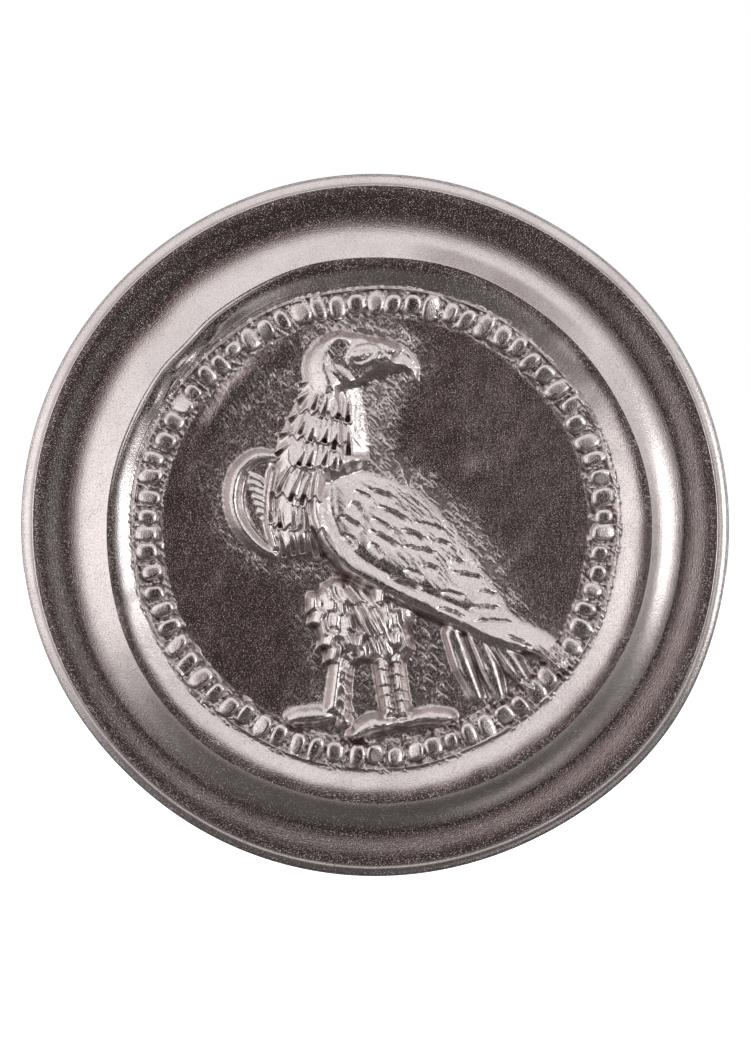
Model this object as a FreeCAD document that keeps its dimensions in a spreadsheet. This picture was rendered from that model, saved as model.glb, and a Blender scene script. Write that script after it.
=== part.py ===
"""Harness phalera: an embossed metal disc on a back plate, worn on a leather harness by four strap loops.

Units are millimetres. +Z is up as worn, +X is the viewer's right and the face looks along -Y. The origin is on
the disc's axis, in the rear plane of the turned-over edge, which bears on the harness.

Every piece is drawn lying on its back: its own X is the viewer's right, its own Y is up as worn, and its own Z
points out of the face. Its Placement then stands it up.

The face is one thin sheet. From the edge inwards it has a rolled edge, a flat lip, a hollow flute that sweeps up
to a crease, a rounded crest, and a flat field with a border of beads and an eagle in relief. Its edge is turned
over the back plate, and pitch fills the space between the two. Each strap loop is a bent strip whose two feet
are riveted to the plate over roves.
"""

import FreeCAD, Part
import os
import Sketcher

DOC = FreeCAD.newDocument("phalera")
AXIS = FreeCAD.Vector(0, 0, 1)
CENTRE_LEFT, CENTRE_RIGHT = 1, -1
STAND = FreeCAD.Rotation(FreeCAD.Vector(1, 0, 0), 90)

# Driving dimensions: alias, value, meaning.
SIZES = [
    ("outer_radius", 37.5, "disc radius"),
    ("sheet", 0.4, "face sheet thickness"),
    ("plate", 0.8, "back plate thickness"),
    ("edge_height", 2.4, "height of the rolled edge"),
    ("edge_clearance", 0.1, "back plate rim to the start of the rolled edge"),
    ("hem_width", 2.5, "width of the edge turned over the plate"),
    ("lip_width", 0.5, "width of the flat lip inside the rolled edge"),
    ("flute_r", 33.2, "radius of the flute's lowest circle"),
    ("flute_depth", 0.27, "depth of the flute below the lip"),
    ("crease_r", 28.9, "radius of the crease"),
    ("crest_height", 3.75, "height of the crest at the crease"),
    ("field_r", 25.7, "radius where the crest meets the field"),
    ("field_height", 2.9, "height of the flat field"),
    ("eagle_field_r", 25.7, "field radius for which the eagle's masses are laid out"),
    ("bead_count", 74, "beads in the border"),
    ("bead_inset", 1.42, "field's edge to the circle of the beads"),
    ("bead_long", 1.32, "half length of a bead along the radius"),
    ("bead_gap", 0.24, "gap between neighbouring beads"),
    ("bead_high", 0.6, "height of a bead above the field"),
    ("strap_width", 16.0, "clear width inside a strap loop"),
    ("strap_space", 5.0, "clear height under a strap loop"),
    ("strip_thick", 1.0, "thickness of a strap loop's strip"),
    ("strip_wide", 5.0, "width of a strap loop's strip"),
    ("strip_bend", 0.8, "inner radius of the strip's bends"),
    ("foot_long", 4.4, "length of a strap loop's foot"),
    ("loop_reach", 21.5, "disc axis to the middle of a strap loop"),
    ("shank_r", 0.6, "rivet shank radius"),
    ("shank_clearance", 0.05, "radial clearance round a rivet"),
    ("head_r", 1.3, "rivet head radius"),
    ("head_high", 0.65, "rivet head height"),
    ("tail_r", 1.0, "radius of a rivet's peened end"),
    ("tail_high", 0.45, "height of a rivet's peened end"),
    ("rove_r", 1.5, "rove radius"),
    ("rove_thick", 0.3, "rove thickness"),
]

# The eagle's masses, each half an ellipsoid standing on the field: its name, the centre's X and Y, half length,
# half width, height, the turn of its length from X towards Y, and whether the sheet is open behind it. All but
# the height and the turn grow with the field.
MASSES = [
    ("breast", -8.0, 3.0, 6.6, 4.1, 1.7, 100, True),
    ("neck", -4.6, 11.2, 5.6, 3.5, 1.6, 74, True),
    ("head", -2.6, 18.0, 3.5, 2.9, 1.6, 25, True),
    ("beak", 2.6, 17.3, 2.3, 0.95, 1.1, -30, False),
    ("far_wing", -12.6, 3.4, 4.4, 1.9, 1.1, 105, False),
    ("wing", 4.3, -2.6, 12.6, 4.6, 1.9, -38, True),
    ("wing_tip", 15.2, -11.7, 6.2, 2.1, 1.2, -41, True),
    ("thigh_left", -3.8, -10.3, 4.4, 1.8, 1.2, -66, False),
    ("thigh_right", 0.2, -10.6, 5.0, 1.9, 1.3, -60, False),
    ("shank_left", -3.6, -17.4, 3.2, 0.85, 0.9, 82, False),
    ("shank_right", 1.6, -17.3, 3.3, 0.85, 0.9, -78, False),
    ("foot_left", -6.4, -20.6, 2.6, 0.9, 0.7, 4, False),
    ("foot_middle", 0.6, -21.2, 2.8, 1.0, 0.8, 8, False),
    ("foot_right", 5.7, -20.4, 2.5, 0.8, 0.7, 6, False),
    ("tail_left", 9.6, -15.6, 3.7, 0.75, 0.7, -70, False),
    ("tail_middle", 12.0, -15.5, 3.6, 0.75, 0.7, -68, False),
    ("tail_right", 14.4, -15.3, 3.0, 0.7, 0.7, -62, False),
]
MASS_SIZES = ("x", "y", "long", "wide", "high", "turn")

# Sizes that follow from the driving dimensions. The flute and the crest are arcs that lie level at the flute's
# lowest circle and at the crease, so each radius follows from the arc's run and rise. The "inner" sizes are the
# same surface one sheet's thickness further in, which is the pitch's surface.
DERIVED = [
    ("edge_round", "sizes.edge_height / 2"),
    ("edge_start", "sizes.outer_radius - derived.edge_round"),
    ("lip_r", "derived.edge_start - sizes.lip_width"),
    ("hem_r", "derived.edge_start - sizes.hem_width"),
    ("plate_r", "derived.edge_start - sizes.edge_clearance"),
    ("plate_front", "sizes.sheet + sizes.plate"),
    ("flute_floor", "sizes.edge_height - sizes.flute_depth"),
    ("lip_run", "derived.lip_r - sizes.flute_r"),
    ("lip_round", "(derived.lip_run ^ 2 + sizes.flute_depth ^ 2) / (2 * sizes.flute_depth)"),
    ("flute_run", "sizes.flute_r - sizes.crease_r"),
    ("flute_rise", "sizes.crest_height - derived.flute_floor"),
    ("flute_round", "(derived.flute_run ^ 2 + derived.flute_rise ^ 2) / (2 * derived.flute_rise)"),
    ("crest_run", "sizes.crease_r - sizes.field_r"),
    ("crest_drop", "sizes.crest_height - sizes.field_height"),
    ("crest_round", "(derived.crest_run ^ 2 + derived.crest_drop ^ 2) / (2 * derived.crest_drop)"),
    ("inner_radius", "sizes.outer_radius - sizes.sheet"),
    ("inner_edge", "sizes.edge_height - sizes.sheet"),
    ("inner_edge_round", "derived.edge_round - sizes.sheet"),
    ("inner_floor", "derived.flute_floor - sizes.sheet"),
    ("inner_lip_round", "derived.lip_round + sizes.sheet"),
    ("inner_lip_r", "sizes.flute_r + sqrt(derived.inner_lip_round ^ 2"
                    " - (derived.inner_lip_round - sizes.flute_depth) ^ 2)"),
    ("inner_flute_round", "derived.flute_round + sizes.sheet"),
    ("inner_crest", "sizes.crest_height - sizes.sheet"),
    ("inner_crease_r", "sizes.flute_r - sqrt(derived.inner_flute_round ^ 2"
                       " - (derived.inner_flute_round - derived.flute_rise) ^ 2)"),
    ("inner_crest_round", "derived.crest_round - sizes.sheet"),
    ("inner_field", "sizes.field_height - sizes.sheet"),
    ("inner_field_r", "derived.inner_crease_r - sqrt(derived.inner_crest_round ^ 2"
                      " - (derived.inner_crest_round - derived.crest_drop) ^ 2)"),
    ("bead_r", "sizes.field_r - sizes.bead_inset"),
    ("bead_wide", "pi * derived.bead_r / sizes.bead_count - sizes.bead_gap / 2"),
    ("eagle_scale", "sizes.field_r / sizes.eagle_field_r"),
    ("hole_r", "sizes.shank_r + sizes.shank_clearance"),
    ("gap_x", "sizes.strap_width / 2"),
    ("leg_x", "derived.gap_x + sizes.strip_thick"),
    ("rivet_x", "derived.leg_x + sizes.foot_long / 2"),
    ("foot_x", "derived.leg_x + sizes.foot_long"),
    ("loop_high", "sizes.strap_space + sizes.strip_thick"),
    ("outer_bend", "sizes.strip_bend + sizes.strip_thick"),
    ("rove_top", "sizes.plate + sizes.rove_thick"),
    ("tail_top", "derived.rove_top + sizes.tail_high"),
    ("head_top", "sizes.strip_thick + sizes.head_high"),
    ("head_round", "(sizes.head_r ^ 2 + sizes.head_high ^ 2) / (2 * sizes.head_high)"),
    ("tail_round", "(sizes.tail_r ^ 2 + sizes.tail_high ^ 2) / (2 * sizes.tail_high)"),
    ("pocket_r", "sizes.rove_r + sizes.shank_clearance"),
]


# The strap loops' turns round the disc from the top, and the two feet of each loop.
LOOP_TURNS = {"top": 0, "right": 90, "bottom": 180, "left": 270}
FOOT_HANDS = {"near": -1, "far": 1}

TINY = 1e-6


def make_sizes():
    """The spreadsheet of driving dimensions, with an alias on each value."""
    rows = list(SIZES)
    for mass in MASSES:
        rows += [(f"eagle_{mass[0]}_{size}", number, "eagle") for size, number in zip(MASS_SIZES, mass[1:])]
    sheet = DOC.addObject("Spreadsheet::Sheet", "sizes")
    for row, (alias, number, meaning) in enumerate(rows, start=1):
        sheet.set(f"A{row}", meaning)
        sheet.set(f"B{row}", str(number))
        sheet.setAlias(f"B{row}", alias)
    DOC.recompute()
    return sheet


def make_derived():
    """The set of sizes that follow from the spreadsheet, each one bound by an expression."""
    derived = DOC.addObject("App::VarSet", "derived")
    for name, expression in DERIVED:
        derived.addProperty("App::PropertyFloat", name, "derived")
        derived.setExpression(name, expression)
    DOC.recompute()
    return derived


SHEET = make_sizes()
FOLLOWS = make_derived()


def number(size):
    """The present value of a size such as "sizes.sheet", "-sizes.sheet", "derived.lip_r" or 0."""
    if size == 0:
        return 0.0
    owner, name = size.lstrip("-").split(".")
    found = float(getattr(SHEET if owner == "sizes" else FOLLOWS, name))
    return -found if size.startswith("-") else found


def origin_plane(body, role):
    """One of a body's own origin planes."""
    return next(item for item in body.Origin.OriginFeatures if item.Role == role)


def new_body(label):
    """A PartDesign body whose label is its piece's name."""
    body = DOC.addObject("PartDesign::Body", "Body_" + label)
    body.Label = label
    return body


def new_sketch(body, name, role):
    """A sketch on one of the body's own origin planes."""
    sketch = body.newObject("Sketcher::SketchObject", name)
    sketch.AttachmentSupport = (origin_plane(body, role), "")
    sketch.MapMode = "FlatFace"
    return sketch


def pin(sketch, index, end, size, direction):
    """Holds one point of a sketch at a size from the sketch's origin, along "DistanceX" or "DistanceY"."""
    if size == 0:
        axis = -2 if direction == "DistanceX" else -1
        sketch.addConstraint(Sketcher.Constraint("PointOnObject", index, end, axis))
        return
    constraint = sketch.addConstraint(Sketcher.Constraint(direction, -1, 1, index, end, number(size)))
    sketch.setExpression(f"Constraints[{constraint}]", size)


def outline(sketch, corners, arcs=None):
    """A closed outline through corners, each given as two sizes, with every corner pinned to its sizes.

    arcs maps the index of a corner to the radius of the arc that leaves it, and to the side of the way on which
    the arc's centre lies. The other stretches are straight.
    """
    arcs = arcs or {}
    points = [FreeCAD.Vector(number(x), number(y), 0) for x, y in corners]
    ends = []
    for index, start in enumerate(points):
        end = points[(index + 1) % len(points)]
        if index not in arcs:
            sketch.addGeometry(Part.LineSegment(start, end))
            ends.append((1, 2))
            continue
        radius, side = arcs[index]
        half = (end - start) / 2
        to_centre = FreeCAD.Vector(-half.y, half.x, 0).normalize() * side
        rise = number(radius) - (number(radius) ** 2 - half.Length ** 2) ** 0.5
        middle = start + half - to_centre * rise
        anticlockwise = side == CENTRE_LEFT
        sketch.addGeometry(Part.Arc(start, middle, end) if anticlockwise else Part.Arc(end, middle, start))
        ends.append((1, 2) if anticlockwise else (2, 1))
    for index, (x, y) in enumerate(corners):
        following = (index + 1) % len(corners)
        sketch.addConstraint(
            Sketcher.Constraint("Coincident", index, ends[index][1], following, ends[following][0]))
        pin(sketch, index, ends[index][0], x, "DistanceX")
        pin(sketch, index, ends[index][0], y, "DistanceY")
    for index, (radius, _side) in arcs.items():
        constraint = sketch.addConstraint(Sketcher.Constraint("Radius", index, number(radius)))
        sketch.setExpression(f"Constraints[{constraint}]", radius)


def circle(sketch, radius, x=0, y=0):
    """A circle whose radius and centre are given as sizes."""
    centre = FreeCAD.Vector(number(x), number(y), 0)
    index = sketch.addGeometry(Part.Circle(centre, AXIS, number(radius)))
    pin(sketch, index, 3, x, "DistanceX")
    pin(sketch, index, 3, y, "DistanceY")
    constraint = sketch.addConstraint(Sketcher.Constraint("Radius", index, number(radius)))
    sketch.setExpression(f"Constraints[{constraint}]", radius)


def turned(body, corners, arcs=None):
    """A solid turned about the piece's Z axis, from corners given as radius and height."""
    sketch = new_sketch(body, body.Label + "_profile", "XZ_Plane")
    outline(sketch, corners, arcs)
    solid = body.newObject("PartDesign::Revolution", body.Label + "_turned")
    solid.Profile = sketch
    solid.ReferenceAxis = (sketch, ["V_Axis"])
    solid.Angle = 360
    return solid


def lump(body, name, mass, base, shrink=None):
    """One of the eagle's masses: an ellipsoid centred at a height, with sides thinner by a shrink."""
    less = f" - {shrink}" if shrink else ""
    solid = body.newObject("PartDesign::AdditiveEllipsoid", name)
    solid.AttachmentSupport = (origin_plane(body, "XY_Plane"), "")
    solid.MapMode = "FlatFace"
    solid.setExpression("AttachmentOffset.Base.x", f"derived.eagle_scale * sizes.eagle_{mass}_x")
    solid.setExpression("AttachmentOffset.Base.y", f"derived.eagle_scale * sizes.eagle_{mass}_y")
    solid.setExpression("AttachmentOffset.Base.z", base)
    solid.setExpression("AttachmentOffset.Rotation.Angle", f"sizes.eagle_{mass}_turn")
    solid.setExpression("Radius1", f"sizes.eagle_{mass}_high")
    solid.setExpression("Radius2", f"derived.eagle_scale * sizes.eagle_{mass}_long{less}")
    solid.setExpression("Radius3", f"derived.eagle_scale * sizes.eagle_{mass}_wide{less}")
    return solid


def around(body, features, count):
    """Repeats features evenly round the piece's Z axis, and makes the pattern the body's tip."""
    DOC.recompute()
    pattern = body.newObject("PartDesign::PolarPattern", body.Label + "_around")
    pattern.Originals = features
    pattern.Axis = (origin_plane(body, "Z_Axis"), [""])
    pattern.Angle = 360
    if isinstance(count, str):
        pattern.setExpression("Occurrences", count)
    else:
        pattern.Occurrences = count
    body.Tip = pattern
    return pattern


def make_face_blank():
    """Everything inside the face's outer surface: the turned section, the eagle's masses and the beads."""
    body = new_body("face_blank")
    turned(body, [
        (0, 0),
        ("derived.edge_start", 0),
        ("sizes.outer_radius", "derived.edge_round"),
        ("derived.edge_start", "sizes.edge_height"),
        ("derived.lip_r", "sizes.edge_height"),
        ("sizes.flute_r", "derived.flute_floor"),
        ("sizes.crease_r", "sizes.crest_height"),
        ("sizes.field_r", "sizes.field_height"),
        (0, "sizes.field_height"),
    ], {
        1: ("derived.edge_round", CENTRE_LEFT),
        2: ("derived.edge_round", CENTRE_LEFT),
        4: ("derived.lip_round", CENTRE_RIGHT),
        5: ("derived.flute_round", CENTRE_RIGHT),
        6: ("derived.crest_round", CENTRE_LEFT),
    })
    for mass in MASSES:
        lump(body, "outer_" + mass[0], mass[0], "sizes.field_height")
    bead = body.newObject("PartDesign::AdditiveEllipsoid", "bead")
    bead.AttachmentSupport = (origin_plane(body, "XY_Plane"), "")
    bead.MapMode = "FlatFace"
    bead.setExpression("AttachmentOffset.Base.x", "derived.bead_r")
    bead.setExpression("AttachmentOffset.Base.z", "sizes.field_height")
    bead.setExpression("Radius1", "sizes.bead_high")
    bead.setExpression("Radius2", "sizes.bead_long")
    bead.setExpression("Radius3", "derived.bead_wide")
    around(body, [bead], "sizes.bead_count")
    return body


def make_inside():
    """Everything inside the face's inner surface, down to the turned-over edge."""
    body = new_body("inside")
    turned(body, [
        (0, "sizes.sheet"),
        ("derived.edge_start", "sizes.sheet"),
        ("derived.inner_radius", "derived.edge_round"),
        ("derived.edge_start", "derived.inner_edge"),
        ("derived.inner_lip_r", "derived.inner_edge"),
        ("sizes.flute_r", "derived.inner_floor"),
        ("derived.inner_crease_r", "derived.inner_crest"),
        ("derived.inner_field_r", "derived.inner_field"),
        (0, "derived.inner_field"),
    ], {
        1: ("derived.inner_edge_round", CENTRE_LEFT),
        2: ("derived.inner_edge_round", CENTRE_LEFT),
        4: ("derived.inner_lip_round", CENTRE_RIGHT),
        5: ("derived.inner_flute_round", CENTRE_RIGHT),
        6: ("derived.inner_crest_round", CENTRE_LEFT),
    })
    for mass in MASSES:
        if mass[-1]:
            lump(body, "inner_" + mass[0], mass[0], "derived.inner_field", "sizes.sheet")
    return body


def make_embossed_face(blank, inside):
    """The thin sheet: the blank less its inside, open behind within the turned-over edge."""
    opening = DOC.addObject("Part::Cylinder", "back_opening")
    opening.setExpression("Radius", "derived.hem_r")
    opening.setExpression("Height", "2 * sizes.sheet")
    opening.setExpression("Placement.Base.z", "-sizes.sheet / 2")
    hollow = DOC.addObject("Part::MultiFuse", "hollow")
    hollow.Shapes = [inside, opening]
    face = DOC.addObject("Part::Cut", "Cut_embossed_face")
    face.Label = "embossed_face"
    face.Base = blank
    face.Tool = hollow
    face.Placement.Rotation = STAND
    return face


def make_filler_core(inside):
    """The pitch: the inside in front of the back plate, with a pocket over each rove and peened rivet end."""
    room = new_body("plate_and_rivet_room")
    disc_sketch = new_sketch(room, "plate_room", "XY_Plane")
    circle(disc_sketch, "sizes.outer_radius")
    disc = room.newObject("PartDesign::Pad", "plate_room_pad")
    disc.Profile = disc_sketch
    disc.setExpression("Length", "derived.plate_front")
    pocket_sketch = new_sketch(room, "rivet_room", "XY_Plane")
    circle(pocket_sketch, "derived.pocket_r", "derived.rivet_x", "sizes.loop_reach")
    circle(pocket_sketch, "derived.pocket_r", "-derived.rivet_x", "sizes.loop_reach")
    pockets = room.newObject("PartDesign::Pad", "rivet_room_pad")
    pockets.Profile = pocket_sketch
    pockets.setExpression("Length", "sizes.sheet + derived.tail_top + sizes.shank_clearance")
    around(room, [pockets], len(LOOP_TURNS))
    core = DOC.addObject("Part::Cut", "Cut_filler_core")
    core.Label = "filler_core"
    core.Base = inside
    core.Tool = room
    core.Placement.Rotation = STAND
    return core


def make_back_plate():
    """The round plate inside the turned-over edge, with a pair of rivet holes for each strap loop."""
    body = new_body("back_plate")
    rim = new_sketch(body, "plate_rim", "XY_Plane")
    circle(rim, "derived.plate_r")
    disc = body.newObject("PartDesign::Pad", "plate_disc")
    disc.Profile = rim
    disc.setExpression("Length", "sizes.plate")
    holes = new_sketch(body, "rivet_holes", "XY_Plane")
    circle(holes, "derived.hole_r", "derived.rivet_x", "sizes.loop_reach")
    circle(holes, "derived.hole_r", "-derived.rivet_x", "sizes.loop_reach")
    drilled = body.newObject("PartDesign::Pocket", "plate_drilled")
    drilled.Profile = holes
    drilled.Type = "ThroughAll"
    drilled.SideType = "Symmetric"
    around(body, [drilled], len(LOOP_TURNS))
    body.Placement.Rotation = STAND
    body.setExpression("Placement.Base.y", "-sizes.sheet")
    return body


def edges_along_strip(shape, spots):
    """Names of the shape's edges that run along its Y axis through the given X and Z."""
    names = []
    for count, edge in enumerate(shape.Edges, start=1):
        ends = [vertex.Point for vertex in edge.Vertexes]
        if len(ends) != 2 or abs(ends[0].x - ends[1].x) > TINY or abs(ends[0].z - ends[1].z) > TINY:
            continue
        if any(abs(ends[0].x - x) < TINY and abs(ends[0].z - z) < TINY for x, z in spots):
            names.append(f"Edge{count}")
    if len(names) != len(spots):
        raise RuntimeError("a bend of the strap loop has no edge to follow")
    return names


def bend(body, base, radius, spots):
    """Rounds the strip's corners at the given X and Z."""
    DOC.recompute()
    fillet = body.newObject("PartDesign::Fillet", base.Name + "_bent")
    fillet.Base = (base, edges_along_strip(base.Shape, spots))
    fillet.setExpression("Radius", radius)
    return fillet


def make_strap_loop(side, turn):
    """A bent strip with two feet. Its origin is on the plate's rear face, under the middle of the strip."""
    body = new_body("strap_loop_" + side)
    section = new_sketch(body, f"strip_{side}", "XZ_Plane")
    outline(section, [
        ("-derived.foot_x", 0),
        ("-derived.gap_x", 0),
        ("-derived.gap_x", "-sizes.strap_space"),
        ("derived.gap_x", "-sizes.strap_space"),
        ("derived.gap_x", 0),
        ("derived.foot_x", 0),
        ("derived.foot_x", "-sizes.strip_thick"),
        ("derived.leg_x", "-sizes.strip_thick"),
        ("derived.leg_x", "-derived.loop_high"),
        ("-derived.leg_x", "-derived.loop_high"),
        ("-derived.leg_x", "-sizes.strip_thick"),
        ("-derived.foot_x", "-sizes.strip_thick"),
    ])
    strip = body.newObject("PartDesign::Pad", f"strip_{side}_pad")
    strip.Profile = section
    strip.SideType = "Symmetric"
    strip.setExpression("Length", "sizes.strip_wide")
    gap, leg = number("derived.gap_x"), number("derived.leg_x")
    space, high, thick = number("sizes.strap_space"), number("derived.loop_high"), number("sizes.strip_thick")
    inner = [(-gap, -space), (gap, -space), (-leg, -thick), (leg, -thick)]
    outer = [(-leg, -high), (leg, -high), (-gap, 0), (gap, 0)]
    inner_bends = bend(body, strip, "sizes.strip_bend", inner)
    bend(body, inner_bends, "derived.outer_bend", outer)
    holes = new_sketch(body, f"foot_holes_{side}", "XY_Plane")
    circle(holes, "derived.hole_r", "derived.rivet_x")
    circle(holes, "derived.hole_r", "-derived.rivet_x")
    drilled = body.newObject("PartDesign::Pocket", f"feet_{side}_drilled")
    drilled.Profile = holes
    drilled.Type = "ThroughAll"
    drilled.SideType = "Symmetric"
    body.Placement.Rotation = STAND * FreeCAD.Rotation(AXIS, -turn)
    body.setExpression("Placement.Base.x", f"sizes.loop_reach * sin({turn})")
    body.setExpression("Placement.Base.y", "-sizes.sheet")
    body.setExpression("Placement.Base.z", f"sizes.loop_reach * cos({turn})")
    return body


def set_at_foot(body, turn, hand):
    """Stands a piece up on a rivet's axis: hand is -1 or 1 for the foot before or after the loop's middle."""
    body.Placement.Rotation = STAND
    along, out = f"{hand} * derived.rivet_x", "sizes.loop_reach"
    body.setExpression("Placement.Base.x", f"{along} * cos({turn}) + {out} * sin({turn})")
    body.setExpression("Placement.Base.y", "-sizes.sheet")
    body.setExpression("Placement.Base.z", f"{out} * cos({turn}) - {along} * sin({turn})")


def make_rivet(label, turn, hand):
    """A rivet with a domed head behind the foot and a peened end in front of the rove."""
    body = new_body(label)
    turned(body, [
        (0, "-derived.head_top"),
        ("sizes.head_r", "-sizes.strip_thick"),
        ("sizes.shank_r", "-sizes.strip_thick"),
        ("sizes.shank_r", "derived.rove_top"),
        ("sizes.tail_r", "derived.rove_top"),
        (0, "derived.tail_top"),
    ], {
        0: ("derived.head_round", CENTRE_LEFT),
        4: ("derived.tail_round", CENTRE_LEFT),
    })
    set_at_foot(body, turn, hand)
    return body


def make_rove(label, turn, hand):
    """The washer under a rivet's peened end."""
    body = new_body(label)
    turned(body, [
        ("derived.hole_r", "sizes.plate"),
        ("sizes.rove_r", "sizes.plate"),
        ("sizes.rove_r", "derived.rove_top"),
        ("derived.hole_r", "derived.rove_top"),
    ])
    set_at_foot(body, turn, hand)
    return body


def make_pieces():
    """Every piece of the disc, as a list of document objects."""
    inside = make_inside()
    pieces = [make_embossed_face(make_face_blank(), inside), make_filler_core(inside), make_back_plate()]
    for side, turn in LOOP_TURNS.items():
        pieces.append(make_strap_loop(side, turn))
        for end, hand in FOOT_HANDS.items():
            pieces.append(make_rivet(f"rivet_{side}_{end}", turn, hand))
            pieces.append(make_rove(f"rove_{side}_{end}", turn, hand))
    return pieces


def check(pieces):
    """Stops the build if any object failed or any piece has no valid solid."""
    for item in DOC.Objects:
        if "Invalid" in item.State or "Error" in item.State:
            raise RuntimeError(f"{item.Label} failed: {item.State}")
    for piece in pieces:
        if piece.Shape.isNull() or not piece.Shape.isValid() or len(piece.Shape.Solids) != 1:
            raise RuntimeError(f"{piece.Label} is not one valid solid")


def write(pieces):
    """Writes each piece to its own STEP file."""
    os.makedirs("parts", exist_ok=True)
    for piece in pieces:
        piece.Shape.exportStep(f"parts/{piece.Label}.step")
        print(f"{piece.Label}: {piece.Shape.Volume:.2f} mm3")


PIECES = make_pieces()
DOC.recompute()
check(PIECES)
write(PIECES)
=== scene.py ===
import math

import bpy
import numpy as np
from bpy.props import FloatProperty, FloatVectorProperty, IntProperty, PointerProperty
from bpy.types import Operator, Panel, PropertyGroup
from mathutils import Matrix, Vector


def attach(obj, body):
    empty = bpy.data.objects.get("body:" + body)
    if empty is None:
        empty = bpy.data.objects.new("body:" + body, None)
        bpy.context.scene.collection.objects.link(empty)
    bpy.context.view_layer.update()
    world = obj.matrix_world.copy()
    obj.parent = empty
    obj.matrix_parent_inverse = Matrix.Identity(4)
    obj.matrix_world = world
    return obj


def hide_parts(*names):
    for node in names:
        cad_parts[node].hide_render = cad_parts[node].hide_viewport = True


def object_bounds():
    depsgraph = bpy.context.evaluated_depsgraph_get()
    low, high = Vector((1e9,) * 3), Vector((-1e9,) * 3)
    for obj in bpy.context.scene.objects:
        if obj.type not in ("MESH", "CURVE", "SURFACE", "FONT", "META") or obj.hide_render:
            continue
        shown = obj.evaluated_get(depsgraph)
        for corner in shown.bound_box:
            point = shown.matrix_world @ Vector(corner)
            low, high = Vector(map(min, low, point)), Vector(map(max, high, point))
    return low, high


bl_info = {
    "name": "Embossed phalera",
    "version": (1, 0, 0),
    "blender": (4, 5, 0),
    "location": "3D View > Sidebar > Phalera",
    "description": "The embossed face, pitch, back and studio of a harness phalera with an eagle in relief",
    "category": "Object",
}

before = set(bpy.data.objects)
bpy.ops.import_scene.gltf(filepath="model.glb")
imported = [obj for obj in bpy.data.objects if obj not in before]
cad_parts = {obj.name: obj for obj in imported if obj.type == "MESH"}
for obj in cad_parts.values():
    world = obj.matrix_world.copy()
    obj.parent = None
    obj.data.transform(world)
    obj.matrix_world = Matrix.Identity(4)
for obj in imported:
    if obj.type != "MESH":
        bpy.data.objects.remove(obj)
CAD_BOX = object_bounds()

MM = 0.001
TURN = 2.0 * math.pi

# The disc's moulding in millimetres: radii from the axis, the crest's height above the hem, and the flute's depth
# below the rolled edge. The lip's and the roll's places are measured inwards from the edge, and the relief's height
# map reaches just past the crease.
EDGE_RADIUS = round(CAD_BOX[1][2] / MM, 1)
CREASE_RADIUS = 28.9
FIELD_RADIUS = 25.62
FLUTE_RADIUS = 32.75
RELIEF_REACH = 29.5
CREST_HEIGHT = 3.74
FLUTE_DEPTH = 0.31
LIP_INSET = 1.75
ROLL_INSET = 1.2

# A bead's middle, measured inwards from the field's edge, and its half length, half width and height.
BEAD_INSET = 1.42
BEAD_LONG = 1.24
BEAD_WIDE = 0.95
BEAD_HIGH = 0.56

# How many points of the rim's section lie on the flute's wall, its far side and the lip.
WALL_POINTS = 44
SWELL_POINTS = 22
LIP_POINTS = 5


# ---- Curves and swellings, in millimetres: x to the right, z up, height out of the face ----------------------

def ease(t):
    """The smooth step of t from 0 to 1, which is 3 t squared less 2 t cubed."""
    t = np.clip(t, 0.0, 1.0)
    return t * t * (3.0 - 2.0 * t)


def dome(t):
    """The height of a half parabola, from 0 at t = 0 to 1 at t = 1 and beyond: 1 less the square of 1 less t."""
    return 1.0 - (1.0 - np.clip(t, 0.0, 1.0)) ** 2


def bell(t):
    """The bell curve, 1 at t = 0 and falling as the exponential of minus t squared."""
    return np.exp(-t ** 2)


def curve(points, steps=6):
    """Points along the Catmull-Rom curve through the given points, with steps to each span."""
    p = np.array(points, float)
    p = np.vstack([2 * p[0] - p[1], p, 2 * p[-1] - p[-2]])
    a, b, c, d = p[:-3, None], p[1:-2, None], p[2:-1, None], p[3:, None]
    t = (np.arange(steps) / steps)[None, :, None]
    bend = (2 * a - 5 * b + 4 * c - d) * t ** 2 + (3 * b - a - 3 * c + d) * t ** 3
    spans = 0.5 * (2 * b + (c - a) * t + bend)
    return np.vstack([spans.reshape(-1, 2), p[-2]])


def nearest(x, z, path):
    """The distance from each point to a path, and how far along the path that is, from 0 to 1."""
    starts, runs = path[:-1], np.diff(path, axis=0)
    lengths = np.hypot(runs[:, 0], runs[:, 1])
    gone = np.concatenate([[0.0], np.cumsum(lengths)[:-1]])
    best = np.full(x.shape, np.inf)
    along = np.zeros(x.shape)
    for (ax, az), (rx, rz), length, before in zip(starts, runs, lengths, gone):
        px, pz = x - ax, z - az
        t = np.clip((px * rx + pz * rz) / length ** 2, 0.0, 1.0)
        far = np.hypot(px - t * rx, pz - t * rz)
        closer = far < best
        best = np.where(closer, far, best)
        along = np.where(closer, before + t * length, along)
    return best, along / lengths.sum()


def inside(x, z, loop):
    """Whether each point lies inside a closed loop: an odd number of edges cross the ray to its right."""
    odd = np.zeros(x.shape, bool)
    for (ax, az), (bx, bz) in zip(loop, np.roll(loop, -1, axis=0)):
        if az != bz:
            odd ^= ((az > z) != (bz > z)) & (x < ax + (z - az) * (bx - ax) / (bz - az))
    return odd


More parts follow.
